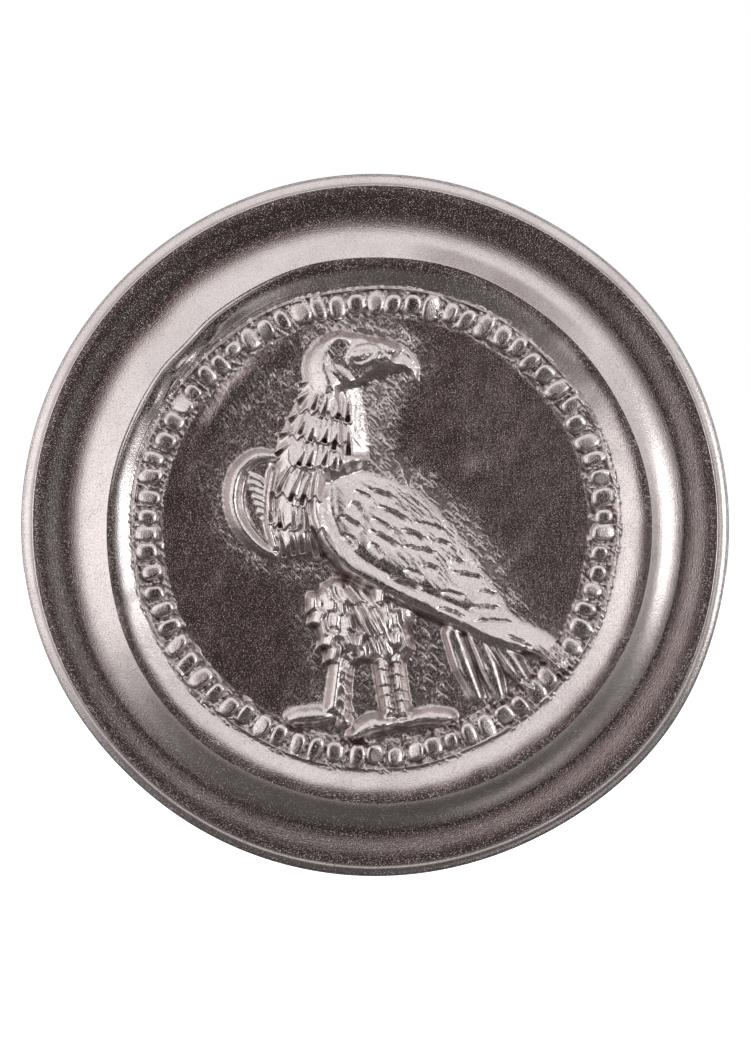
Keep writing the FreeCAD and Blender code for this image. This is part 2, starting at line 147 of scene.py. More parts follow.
class Relief:
    """A height map over the disc's field on a square grid, built up from swellings and cut into."""

    def __init__(self, reach, step):
        self.reach, self.step = reach, step
        self.axis = np.arange(-reach, reach + step / 2, step)
        self.x, self.z = np.meshgrid(self.axis, self.axis)
        self.height = np.zeros(self.x.shape)
        self.cut = np.zeros(self.x.shape)

    def window(self, points, margin):
        """The rows and columns of the grid within a margin of some points."""
        low = (np.min(points, axis=0) - margin + self.reach) / self.step
        high = (np.max(points, axis=0) + margin + self.reach) / self.step
        first = np.clip(low.astype(int), 0, len(self.axis) - 1)
        last = np.clip(high.astype(int) + 2, 1, len(self.axis))
        return slice(first[1], last[1]), slice(first[0], last[0])

    def blend(self, window, level, valley):
        """Raises the surface to a level where that is higher, and rounds the valley between the two."""
        old = self.height[window]
        share = np.clip(0.5 + 0.5 * (level - old) / valley, 0.0, 1.0)
        joined = old + (level - old) * share + valley * share * (1.0 - share)
        self.height[window] = np.where(level > 0.0, np.maximum(joined, np.maximum(old, level)), old)

    def mass(self, outline, edge, top, valley=0.25):
        """A swelling within an outline: a half parabola as wide as edge rises to top, a height or a function."""
        loop = curve(np.vstack([outline, outline[0]]))
        window = self.window(loop, 0.5)
        x, z = self.x[window], self.z[window]
        rise = np.where(inside(x, z, loop), dome(nearest(x, z, loop)[0] / edge), 0.0)
        self.blend(window, rise * (top(x, z) if callable(top) else top), valley)

    def ridge(self, points, widths, heights, flat=0.0, valley=0.12, added=False):
        """A round ridge along a curve. Its half width and height change evenly, and flat is its level share."""
        path = curve(points)
        window = self.window(path, max(widths) + 0.3)
        far, along = nearest(self.x[window], self.z[window], path)
        width = np.interp(along, np.linspace(0, 1, len(widths)), widths)
        top = np.interp(along, np.linspace(0, 1, len(heights)), heights)
        level = dome((width - far) / (width * (1.0 - flat))) * top * (far < width)
        if added:
            self.height[window] += level
        else:
            self.blend(window, level, valley)

    def level_off(self, points, width):
        """Levels the surface round a curve to its mean height there, fading out to a distance of width."""
        path = curve(points)
        window = self.window(path, width)
        share = ease((width - nearest(self.x[window], self.z[window], path)[0]) / (0.6 * width))
        old = self.height[window]
        self.height[window] += ((old * share).sum() / share.sum() - old) * share

    def bevel(self, points, low, rise, reach):
        """Bevels an edge: beside a curve the surface is no higher than a plane that climbs away from it."""
        path = curve(points)
        window = self.window(path, reach)
        far, along = nearest(self.x[window], self.z[window], path)
        share = ease(along / 0.1) * ease((1.0 - along) / 0.1) * (far < reach)
        old = self.height[window]
        self.height[window] += np.minimum(low + rise * far - old, 0.0) * share

    def frame_of(self, start, end, margin):
        """Distances u along and v to the left of a line in a window round it, with the line's length."""
        start, end = np.array(start, float), np.array(end, float)
        window = self.window([start, end], margin)
        length = float(np.hypot(*(end - start)))
        along = (end - start) / length
        px, pz = self.x[window] - start[0], self.z[window] - start[1]
        return window, px * along[0] + pz * along[1], pz * along[0] - px * along[1], length

    def wedge(self, start, end, width, depth, lip=0.10, root=0.1, bow=0.0):
        """A gap between feathers: a cut that widens and deepens to a square end, with a raised lip round it."""
        window, u, v, length = self.frame_of(start, end, width + 0.6)
        share = np.clip(u / length, 0.0, 1.0)
        half = width * (root + (1.0 - root) * share)
        v = v - bow * 4.0 * share * (1.0 - share)
        beyond = np.abs(v) - half
        within = ease((length - u) / 0.14) * ease((u + 0.1) / 0.3)
        floor = depth * (0.25 + 0.75 * share) * ease(-1.3 * beyond / np.maximum(half, 0.1))
        sides = bell(beyond / 0.13) * ease((u + 0.1) / 0.6) * ease((length + 0.25 - u) / 0.2)
        end_lip = bell((u - length - 0.10) / 0.12) * (np.abs(v) < half + 0.1)
        self.cut[window] += floor * within
        self.height[window] += lip * (sides + end_lip)

    def dent(self, start, end, depth, phase=0.0):
        """A chisel stroke: along a ragged, bowed line the surface drops sharply, and climbs back gently below it."""
        window, u, v, length = self.frame_of(start, end, 1.4)
        share = np.clip(u / length, 0.0, 1.0)
        ragged = 0.05 * np.sin(5.0 * u + phase) + 0.025 * np.sin(15.0 * u + 2.0 * phase)
        v = v + ragged - 0.22 * np.sin(share * math.pi)
        ends = ease((u + 0.1) / (0.35 * length)) * ease((length + 0.1 - u) / (0.25 * length))
        fall = np.where(v > 0.0, bell(v / 0.10), np.exp(np.minimum(v, 0.0) / 0.42))
        self.cut[window] += depth * fall * ends
        self.height[window] += 0.30 * depth * bell((v - 0.26) / 0.15) * ends

    def slab(self, start, end, width, low, high, edge=0.35):
        """A strip along a line, tilted across it from low at its left to high at its right, with rounded edges."""
        window, u, v, length = self.frame_of(start, end, width)
        rim = np.minimum(width / 2 - np.abs(v), np.minimum(u, length - u) + 0.1)
        level = (low + (high - low) * (0.5 - v / width)) * dome(rim / edge) * (rim > 0.0)
        self.blend(window, level, 0.12)


def soften(values, radius):
    """A map blurred by a bell curve whose width is radius, in grid steps, along both directions."""
    reach = int(math.ceil(2.5 * radius))
    weights = bell(np.arange(-reach, reach + 1) / (1.414 * radius))
    weights /= weights.sum()
    for axis in (0, 1):
        values = sum(w * np.roll(values, k, axis) for k, w in zip(range(-reach, reach + 1), weights))
    return values


def speckle(rng, shape, radius):
    """Random unevenness of unit size, blurred to a grain of a radius."""
    values = soften(rng.standard_normal(shape), radius)
    return values / values.std()


# ---- The eagle ------------------------------------------------------------------------------------------------

# Outlines and edges, as points (x, z). A stroke or a gap is a line from its start (x, z) to its end (x, z), and a
# breast gap's fifth number is its bow.
BODY = [(-3.2, 20.5), (-5.3, 20.1), (-6.9, 18.8), (-7.7, 16.9), (-7.6, 15.0), (-8.3, 13.0), (-9.5, 10.6),
        (-10.3, 8.4), (-10.7, 6.4), (-11.3, 4.0), (-11.5, 1.5), (-11.1, -1.2), (-10.3, -3.3), (-9.0, -3.6),
        (-7.6, -3.4), (-5.9, -3.6), (-5.0, -1.0), (-4.6, 3.0), (-1.0, 6.2), (-0.7, 8.5), (-1.0, 11.2),
        (-1.6, 14.0), (-2.2, 15.2), (-0.8, 15.5), (1.2, 15.6), (2.6, 16.2), (3.2, 17.6), (2.2, 19.2),
        (0.2, 19.6), (-1.6, 20.2)]
WING_TOP = [(-6.0, 5.8), (-4.3, 6.2), (-2.2, 6.0), (1.2, 5.1), (3.7, 4.0), (6.3, 2.2), (8.0, 0.2), (9.7, -2.3),
            (11.5, -4.8), (13.2, -7.4), (14.7, -9.5), (17.7, -11.1), (20.0, -12.6), (21.6, -14.0)]
WING_LOW = [(19.8, -15.8), (17.6, -14.3), (15.4, -13.3), (12.2, -12.5), (9.0, -10.9), (4.8, -9.0), (2.2, -7.7),
            (-0.3, -6.4), (-3.1, -4.6), (-5.3, -2.0), (-6.4, 0.9), (-6.7, 3.6)]
WING_STROKES = [(-3.6, 0.9, -1.5, -0.3), (-2.3, 2.4, -1.4, 1.5), (-2.1, 3.5, -0.4, 2.7), (-0.6, 3.7, 2.0, 2.8),
                (0.5, 1.9, 3.5, 0.4), (-0.2, 0.6, 1.8, -0.6), (-0.4, -0.7, 2.4, -2.2), (-3.0, -1.0, -2.0, -2.2),
                (-0.4, -2.0, 0.7, -3.2), (3.1, -0.6, 5.2, -1.5), (4.4, 0.2, 7.2, -0.6), (3.3, -2.4, 6.3, -3.0),
                (5.2, -4.4, 6.6, -4.6), (3.3, -4.8, 5.0, -5.5), (1.5, -5.7, 4.7, -6.6), (6.2, -1.8, 7.8, -2.0),
                (8.2, -3.8, 9.3, -4.0), (8.4, -5.1, 11.2, -5.6), (7.1, -7.1, 9.3, -7.6),
                (11.1, -7.1, 12.7, -7.4), (10.3, -8.8, 12.9, -8.8), (10.4, -10.3, 14.4, -10.3),
                (6.7, -8.8, 9.3, -9.7), (14.0, -11.8, 16.4, -13.0)]
NECK_GAPS = [(-5.9, 14.2, -6.6, 12.2), (-4.9, 13.9, -5.5, 11.5), (-3.5, 13.3, -4.0, 11.2), (-2.8, 13.5, -2.9, 10.9),
             (-7.3, 11.4, -8.0, 9.6), (-6.4, 10.7, -6.9, 8.9), (-4.9, 10.5, -5.4, 8.7), (-3.9, 10.1, -4.4, 8.0),
             (-2.8, 10.3, -2.8, 7.4), (-7.3, 8.1, -8.1, 6.3), (-6.4, 8.2, -7.1, 6.2), (-4.9, 8.1, -5.5, 6.3),
             (-4.0, 7.6, -4.4, 5.9)]
NAPE_GAPS = [(-7.0, 15.2, -8.1, 14.6), (-7.0, 14.1, -8.2, 12.9), (-8.0, 11.9, -9.1, 11.0),
             (-8.7, 10.0, -10.2, 9.3), (-8.9, 8.7, -10.5, 7.4)]
BREAST_GAPS = [(-8.7, 6.3, -10.3, 3.4, -0.12), (-7.6, 5.8, -9.0, 2.5, -0.12), (-6.7, 5.4, -7.8, 2.1, -0.12),
               (-11.2, 1.5, -11.0, 0.3, 0.0), (-10.2, 1.7, -10.0, -0.3, 0.0), (-8.7, 2.0, -8.6, -0.4, 0.05),
               (-7.4, 1.8, -7.1, -0.5, 0.05), (-10.2, -0.6, -9.6, -3.4, 0.08), (-9.1, -0.6, -8.6, -3.2, 0.08),
               (-8.0, -0.6, -7.7, -3.0, 0.08), (-7.0, -0.7, -6.2, -3.4, 0.1)]

# The thighs' feathers, each with its middle (x, z) and half its width, and the cords of feathers down the right one.
LEFT_THIGH = [(-6.5, -8.5, 0.50), (-6.1, -9.7, 0.52), (-5.6, -11.0, 0.52), (-4.9, -12.2, 0.55), (-4.2, -13.5, 0.6),
              (-5.0, -7.2, 0.55), (-4.8, -8.6, 0.58), (-4.5, -9.9, 0.50), (-4.1, -11.1, 0.50), (-3.4, -7.3, 0.45),
              (-3.6, -9.0, 0.45), (-3.0, -10.6, 0.62), (-3.0, -12.1, 0.58), (-1.8, -12.3, 0.52), (-1.4, -13.6, 0.5)]
RIGHT_THIGH = [[(-3.6, -6.6), (-2.2, -8.4), (-1.3, -10.2), (-0.4, -12.0), (0.2, -13.6)],
               [(-2.7, -6.4), (-1.3, -8.2), (-0.3, -10.0), (0.7, -11.8), (1.5, -13.6)],
               [(-1.4, -7.0), (0.0, -8.9), (0.9, -10.8), (1.7, -12.6)]]
THIGH_EDGE = [(0.2, -7.9, 0.55), (1.1, -8.9, 0.55), (1.9, -10.0, 0.6), (2.5, -11.2, 0.6), (2.9, -12.4, 0.6),
              (1.4, -10.6, 0.5), (2.0, -12.0, 0.5)]

# Each foot or toe has an outline, a height at its upper edge and how much it climbs to each millimetre downwards. A
# knuckle has its middle (x, z) and its half width.
FEET = [([(-9.6, -20.1), (-8.2, -19.4), (-6.2, -19.2), (-4.4, -19.7), (-4.1, -20.6), (-5.6, -21.2), (-7.8, -21.4),
          (-9.4, -21.1)], 0.55, 0.22),
        ([(-4.3, -20.2), (-3.2, -19.9), (-2.3, -20.5), (-2.6, -21.4), (-3.8, -21.4)], 0.55, 0.25),
        ([(2.3, -20.2), (4.2, -19.6), (6.4, -19.2), (8.2, -19.6), (8.8, -20.5), (7.6, -21.3), (5.4, -21.4),
          (3.2, -21.7), (2.2, -21.2)], 0.5, 0.32),
        ([(-2.0, -20.7), (-0.6, -19.9), (0.8, -20.0), (2.2, -20.2), (2.6, -21.1), (1.6, -22.0), (0.0, -22.3),
          (-1.8, -22.9), (-3.0, -22.5), (-2.6, -21.5)], 0.6, 0.34)]
KNUCKLES = [(-8.3, -20.3, 1.1), (-6.0, -20.0, 1.2), (-1.6, -21.9, 1.1), (0.2, -20.9, 1.2), (1.5, -20.9, 0.9),
            (3.6, -20.5, 1.0), (5.6, -20.2, 1.1), (7.5, -20.3, 1.0)]


def raise_body(relief):
    """The far wing's ribbed curl, a soft fold in the field at the upper left, and the body, neck and head as one
    swelling with a cord down the breast."""
    relief.ridge([(-10.4, 7.2), (-12.6, 7.2), (-14.4, 5.6), (-15.0, 3.2), (-14.7, 1.0), (-13.7, -0.8),
                  (-12.2, -2.3), (-10.6, -3.2)],
                 [0.6, 0.95, 1.05, 1.0, 0.85, 0.6], [0.8, 1.25, 1.35, 1.35, 1.15, 0.8])
    relief.mass([(-10.6, 7.4), (-12.6, 7.0), (-14.0, 5.4), (-14.5, 3.2), (-14.1, 1.0), (-13.0, -0.9), (-11.4, -2.4),
                 (-10.4, -2.6)], 0.8, 0.55)
    for t in np.linspace(0.0, 1.0, 9):
        top = np.array([-13.4 + 1.0 * t + 1.2 * t * t, 5.4 - 6.2 * t])
        end = top + (2.0 - 0.5 * t, -1.5 + 0.3 * t)
        relief.ridge([top, (top + end) / 2 + (0.1, 0.2), end], [0.22, 0.3, 0.22], [0.8, 1.15, 0.9], valley=0.05)
    relief.ridge([(-18.6, 8.6), (-16.0, 13.2), (-12.6, 16.4), (-9.2, 18.4)], [0.9, 1.5, 1.0], [0.05, 0.22, 0.06])
    relief.mass(BODY, 2.9, 1.85)
    relief.ridge([(-10.9, 5.6), (-11.3, 3.0), (-11.2, 0.0), (-10.6, -2.4)], [0.5, 0.55, 0.4], [1.4, 1.5, 1.2])


def raise_wing(relief):
    """The near wing: high along its lower edge, falling to its top edge, with a channel and a cord along the lower
    edge, and chisel strokes, each drawn out by an eighth of its length at both ends."""
    top, low = curve(WING_TOP), curve(WING_LOW)

    def crown(x, z):
        to_top, to_low = nearest(x, z, top)[0], nearest(x, z, low)[0]
        across = to_low / (to_low + to_top + MM)
        high = 2.5 - 1.25 * np.clip((x + 6.0) / 26.0, 0.0, 1.0)
        channel = 0.42 * bell((to_low - 1.85) / 0.7) * ease((15.0 - x) / 8.0)
        return high * (1.0 - 0.90 * np.clip((across - 0.14) / 0.86, 0.0, 1.0) ** 1.1) - channel

    relief.mass(WING_TOP + WING_LOW, 0.7, crown, 0.15)
    relief.ridge([(-6.0, 5.2), (-6.2, 3.4), (-6.1, 0.9), (-5.0, -1.9), (-2.8, -4.3), (0.0, -6.1), (2.4, -7.5),
                  (5.0, -8.8), (9.2, -10.7), (12.3, -12.3), (15.5, -13.2)],
                 [1.0, 1.05, 0.95, 0.75, 0.6, 0.45], [2.6, 2.6, 2.4, 2.0, 1.7, 1.4, 1.1], valley=0.3)
    for count, stroke in enumerate(np.array(WING_STROKES)):
        ax, az, bx, bz = stroke + 0.12 * (stroke - np.roll(stroke, 2))
        relief.dent((ax, az), (bx, bz), 0.42 + 0.10 * math.sin(2.3 * count), phase=1.7 * count)


def lap_feathers(relief, start, end, rows, rise):
    """Overlapping rows of feathers along a line: the surface climbs by rise along each row, with a scalloped
    edge, and drops at its end. It fades out towards the body's outline."""
    loop = curve(BODY + BODY[:1])
    window, u, v, length = relief.frame_of(start, end, 3.2)
    x, z = relief.x[window], relief.z[window]
    within = np.where(inside(x, z, loop), ease(nearest(x, z, loop)[0] / 1.2), 0.0) * ease((-2.5 - x) / 0.6)
    row = u / length * rows + 0.10 * np.cos(TURN * v / 1.15)
    along = row - np.floor(row)
    held = within * ease(row / 0.2) * ease((rows - row) / 0.1)
    relief.height[window] += rise * held * (along * ease((1.0 - along) / 0.07) - 0.35)


def cut_feathers(relief):
    """The gaps between the feathers of the neck, nape and breast, and the notch in the wing's tip."""
    relief.wedge((16.8, -12.3), (19.2, -14.5), 0.28, 0.55)
    for gaps, width, depth, lip in ((NECK_GAPS, 0.33, 0.62, 0.13), (NAPE_GAPS, 0.36, 0.7, 0.10)):
        for ax, az, bx, bz in gaps:
            relief.wedge((ax, az), (bx, bz), width, depth, lip=lip)
    for ax, az, bx, bz, bow in BREAST_GAPS:
        relief.wedge((ax, az), (bx, bz), 0.32, 0.5, root=0.45, bow=bow)


def raise_head(relief):
    """The hooked beak, the cheek, the brow, the almond eye with its lids and slit, the line of the mouth, and the
    throat's edge, bevelled to the right."""
    relief.ridge([(-0.6, 18.3), (1.4, 18.3), (3.0, 17.6), (4.0, 16.6), (4.3, 15.4)],
                 [1.5, 1.35, 1.05, 0.75, 0.25], [1.45, 1.5, 1.45, 1.2, 0.6], valley=0.4)
    relief.ridge([(-2.4, 16.0), (-0.8, 16.6), (0.8, 17.0)], [1.4, 1.3, 0.9], [1.45, 1.4, 1.2], valley=0.5)
    relief.level_off([(-3.8, 18.9), (-3.9, 17.8), (-3.5, 16.8), (-2.6, 16.2)], 2.0)
    for points, widths, heights in (
            ([(-4.2, 19.6), (-2.6, 19.8), (-0.6, 19.6), (1.0, 19.2), (2.6, 18.5)], [0.4, 0.45, 0.4], [0.2, 0.3, 0.2]),
            ([(-2.7, 17.7), (-2.3, 17.1), (-1.3, 17.0), (-0.3, 17.5), (0.4, 18.4)], [0.26, 0.32, 0.26], [0.34, 0.42]),
            ([(-2.7, 17.8), (-2.1, 18.6), (-1.0, 19.0), (0.2, 18.8), (0.5, 18.5)], [0.22, 0.28, 0.22], [0.3, 0.34]),
            ([(-2.0, 17.8), (-1.2, 18.1), (-0.4, 18.3)], [0.5, 0.6, 0.45], [0.3, 0.42, 0.3]),
            ([(0.9, 17.9), (1.9, 17.5), (2.8, 16.7), (3.1, 15.7)], [0.18, 0.24, 0.15], [0.14, 0.26, 0.15]),
            ([(1.0, 18.9), (1.8, 18.4), (2.4, 18.5)], [0.2, 0.25, 0.2], [0.16, 0.2, 0.15])):
        relief.ridge(points, widths, heights, added=True)
    relief.ridge([(-4.4, 16.4), (-3.6, 16.0), (-2.6, 14.8), (-2.0, 12.8), (-1.8, 10.0), (-1.7, 7.0)],
                 [0.6, 0.8, 0.9, 0.9, 0.9], [0.15, 0.35, 0.4, 0.35, 0.3], added=True)
    relief.bevel([(-1.75, 15.4), (-1.2, 12.6), (-0.95, 9.8), (-0.7, 6.9)], 0.2, 0.38, 2.6)
    relief.bevel([(2.4, 18.7), (3.7, 17.6), (4.5, 16.4), (4.6, 15.0)], 0.3, 0.55, 1.3)
    relief.wedge((-0.9, 18.5), (-1.4, 17.6), 0.20, 0.45, lip=0.05)
    relief.wedge((2.6, 16.2), (1.4, 15.9), 0.16, 0.5, lip=0.03)


def raise_tail(relief):
    """The tail's three feathers, each a flat-topped ridge with a narrow one along its left side."""
    for path in ([(12.8, -12.4), (14.6, -14.8), (16.4, -17.2)], [(10.7, -11.8), (12.2, -15.2), (13.3, -18.2)],
                 [(8.2, -11.4), (9.4, -14.9), (10.9, -18.2)]):
        relief.ridge(path, [1.1, 1.25, 0.7], [0.95, 1.0, 0.7], flat=0.25, valley=0.05)
        relief.ridge([(x - 0.75, z - 0.1) for x, z in path], [0.3, 0.4, 0.3], [0.15, 0.25, 0.2], added=True)


def raise_thighs(relief, rng):
    """The thighs: a low swelling under each and one across both, with tilted slabs for the feathers on them and
    dented cords of feathers down the right one."""
    relief.mass([(-4.6, -5.6), (-3.0, -6.0), (-1.6, -8.4), (-0.6, -11.0), (0.4, -13.6), (-0.2, -14.6), (-1.6, -14.0),
                 (-2.6, -14.2), (-3.4, -14.8), (-4.6, -14.4), (-5.6, -12.4), (-6.6, -10.2), (-6.9, -8.4),
                 (-5.8, -6.8)], 0.9, 1.1)
    relief.mass([(-2.6, -5.8), (0.2, -7.4), (2.4, -9.8), (3.9, -12.2), (4.0, -13.6), (2.6, -14.8), (0.6, -15.0),
                 (-0.6, -12.4), (-2.0, -9.0)], 0.9, 1.2)
    relief.mass([(-3.4, -5.0), (-0.4, -5.6), (3.4, -7.8), (4.4, -9.6), (3.0, -11.2), (0.0, -9.4)], 1.4, 0.9)
    for x, z, size in LEFT_THIGH + THIGH_EDGE:
        x, z, size = x + rng.normal(0, 0.16), z + rng.normal(0, 0.16), size * rng.uniform(0.8, 1.25)
        lean = rng.normal(0.15, 0.3)
        relief.slab((x - 0.9 * lean, z + 0.95), (x + 0.9 * lean, z - 0.95), 2.7 * size, rng.uniform(1.7, 2.5),
                    rng.uniform(1.0, 1.5), 0.5)
    for path in RIGHT_THIGH:
        relief.ridge(path, [0.42, 0.66, 0.5], [1.5, 2.1, 1.6])
        for x, z in path[1:-1:2]:
            relief.dent((x - 0.5, z + rng.normal(0, 0.2)), (x + 0.5, z - 0.3), 0.35, phase=x)


def raise_shanks(relief, rng):
    """The shanks: round, tilted slabs, with a row of knobs down the left one and scales across the right one, each
    scale a chisel dent with a low swelling under it."""
    relief.slab((-3.8, -13.8), (-4.6, -20.0), 1.8, 1.6, 0.9, 0.9)
    relief.slab((-2.8, -13.8), (-3.4, -20.4), 1.3, 0.6, 0.6, 0.6)
    relief.slab((0.45, -13.6), (1.6, -20.4), 1.9, 1.75, 0.9, 0.85)
    relief.slab((2.0, -13.4), (3.0, -20.4), 1.8, 1.75, 0.9, 0.8)
    for t in np.linspace(0.0, 1.0, 9):
        x, z, wide = -2.75 - 0.7 * t + rng.normal(0, 0.16), -14.1 - 6.0 * t, 0.45 * rng.uniform(0.7, 1.3)
        relief.ridge([(x - 0.1, z + 0.2), (x + 0.1, z - 0.2)], [wide, wide], [rng.uniform(1.0, 1.6)] * 2)
    for t in (0.12, 0.3, 0.55, 0.72, 0.93):
        x, z = 0.5 + 1.15 * t, -13.6 - 6.6 * t
        relief.dent((x - 0.9, z + rng.normal(0, 0.15)), (x + 0.7, z), 0.30, phase=9.0 * t)
        relief.dent((x + 0.8, z - 0.5), (x + 2.4, z - 0.5 + rng.normal(0, 0.15)), 0.34, phase=5.0 * t)
        relief.ridge([(x, z - 0.7), (x + 0.1, z - 1.1)], [0.7, 0.7], [0.22, 0.22], added=True)
        relief.ridge([(x + 1.6, z - 1.0), (x + 1.6, z - 1.4)], [0.6, 0.6], [0.26, 0.26], added=True)


def raise_feet(relief):
    """The feet: swellings whose tops are planes that climb downwards, with low knuckles on them."""
    for outline, base, climb in FEET:
        relief.mass(outline, 1.05, lambda x, z, base=base, climb=climb: base - climb * (z + 19.3), 0.1)
    for x, z, size in KNUCKLES:
        relief.ridge([(x - 0.4, z), (x + 0.4, z + 0.1)], [size, size], [0.22, 0.22], added=True)


def matted_ground(relief, figure):
    """How matted the field is: most beside the figure and right of it, hardly on it, and fully among the beads."""
    near_figure = ease(soften(figure, 30.0) / 0.45)
    right_of_it = ease((relief.x + 1.5 + 0.35 * relief.z) / 5.0) * ease((relief.z + 9.0) / 6.0)
    matted = near_figure * (0.35 + 0.75 * right_of_it) * (1.0 - 0.85 * ease(figure))
    return matted + 1.1 * between_beads(relief.x, relief.z)


def punch_marks(rng, shape):
    """The unevenness of punched ground: grains, and grains drawn out down the diagonal into strokes."""
    strokes = speckle(rng, shape, 0.9)
    strokes = sum(np.roll(strokes, (-k, k), (0, 1)) for k in range(-3, 4)) / 2.6
    return strokes * 0.064 + speckle(rng, shape, 0.8) * 0.036


def make_relief(sizes):
    """The whole relief over the field, softened as beaten sheet is, with maps of where it is matted and hollow."""
    relief = Relief(RELIEF_REACH, sizes.map_step)
    raise_body(relief)
    raise_wing(relief)
    raise_head(relief)
    raise_tail(relief)
    leg_rng = np.random.default_rng(sizes.seed + 4)
    raise_thighs(relief, leg_rng)
    raise_shanks(relief, leg_rng)
    raise_feet(relief)
    relief.height = soften(relief.height, 1.6)
    lap_feathers(relief, (-4.6, 14.4), (-5.8, 5.9), 3, 0.55)
    lap_feathers(relief, (-7.2, 6.0), (-8.2, -3.7), 3, 0.5)
    cut_feathers(relief)
    rng = np.random.default_rng(sizes.seed)
    shape = relief.height.shape
    figure = soften((relief.height > 0.05).astype(float), 4.0)
    matted = matted_ground(relief, figure)
    relief.matted = matted + 0.12
    punched = punch_marks(rng, shape)
    uneven = speckle(rng, shape, 9.0) * 0.030 + speckle(rng, shape, 2.2) * 0.004 * ease(figure)
    cut = np.minimum(relief.cut, np.maximum(relief.height, 0.0) + 0.10)
    relief.height = soften(relief.height - cut, 0.55) + punched * matted + uneven
    relief.hollow = soften(relief.height, 5.0) - relief.height
    return relief


def sample(relief, values, x, z):
    """A map's value at any points, even between its four nearest grid points."""
    last = len(relief.axis) - 2
    column = np.clip((x + relief.reach) / relief.step, 0, last + 0.999)
    row = np.clip((z + relief.reach) / relief.step, 0, last + 0.999)
    i, j = column.astype(int), row.astype(int)
    u, v = column - i, row - j
    upper = values[j, i] * (1 - u) + values[j, i + 1] * u
    lower = values[j + 1, i] * (1 - u) + values[j + 1, i + 1] * u
    return upper * (1 - v) + lower * v


# ---- The disc's moulding and beads ----------------------------------------------------------------------------

def around_at(angle, degrees, width):
    """A bell over the angle, centred on some degrees and width radians wide, that meets itself all the way round."""
    away = (angle - math.radians(degrees) + math.pi) % TURN - math.pi
    return bell(away / width)


def crease_radius(angle):
    """The crease is a circle set a little right of and below the middle, with dents, most of all at the upper
    left."""
    off_centre = 0.43 * np.cos(angle) - 0.56 * np.sin(angle)
    dents = (0.46 * around_at(angle, 225, 0.45) - 0.17 * around_at(angle, 45, 0.40)
             + 0.20 * around_at(angle, 105, 0.25) - 0.30 * around_at(angle, 136, 0.10)
             - 0.14 * around_at(angle, 150, 0.25))
    wobble = 0.04 * np.sin(5 * angle + 2.0) + 0.03 * np.sin(11 * angle)
    return CREASE_RADIUS + off_centre + dents + wobble


def field_radius(angle):
    """The outer edge of the bead border, which is set a little below the middle."""
    wobble = 0.10 * np.sin(2 * angle + 0.9) + 0.07 * np.sin(7 * angle) + 0.05 * np.sin(13 * angle + 1.0)
    return FIELD_RADIUS - 0.32 * np.sin(angle) - 0.15 * around_at(angle, 100, 0.4) + wobble


def edge_radius(angle):
    """The rim is round to within half a millimetre: it swells at the lower right and is drawn in at the upper right
    and the lower left."""
    drawn_in = 0.25 * around_at(angle, 60, 0.3) + 0.12 * around_at(angle, 225, 0.3)
    return EDGE_RADIUS + 0.14 * np.cos(2 * angle) + 0.5 * around_at(angle, 325, 0.32) - drawn_in


def crest_height(angle):
    """The crest's height at the crease, lower at the dent in the upper left and all down the left."""
    wobble = 0.05 * np.sin(2 * angle + 1.0) + 0.03 * np.sin(9 * angle)
    return CREST_HEIGHT + wobble - 0.25 * around_at(angle, 136, 0.10) - 0.22 * around_at(angle, 180, 0.5)


# Small knocks inside the crease: degrees round the disc, millimetres inwards from the crease, and height.
KNOCKS = [(125, 1.4, 0.16), (131, 1.9, 0.18), (140, 1.6, 0.30), (144, 2.2, 0.20), (151, 1.5, 0.14)]


def moulding(x, z, sizes):
    """The surface inside the crease: from the crest it falls to the level field as half a cosine wave of the share
    of the way inwards to the power 1.45. A lip runs round the field, with scribed lines and knocks at the upper
    left."""
    radius, angle = np.hypot(x, z), np.arctan2(z, x) % TURN
    crease, field = crease_radius(angle), field_radius(angle)
    inwards = np.clip((crease - radius) / (crease - field), 0.0, 1.0)
    fall = 0.5 + 0.5 * np.cos(math.pi * inwards ** 1.45)
    height = sizes.field_height + (crest_height(angle) - sizes.field_height) * fall
    lip = 0.10 * bell((radius - field + 0.05) / 0.22) * (0.6 + 0.4 * np.sin(3 * angle + 2.2))
    upper_left = around_at(angle, 140, 0.42)
    lines = 0.10 * upper_left * (bell((radius - field - 0.55) / 0.16) + bell((radius - crease + 0.35) / 0.14))
    knocks = sum(high * around_at(angle, at, 0.05) * bell((radius - crease + back) / 0.45)
                 for at, back, high in KNOCKS)
    return height + lip + lines + knocks


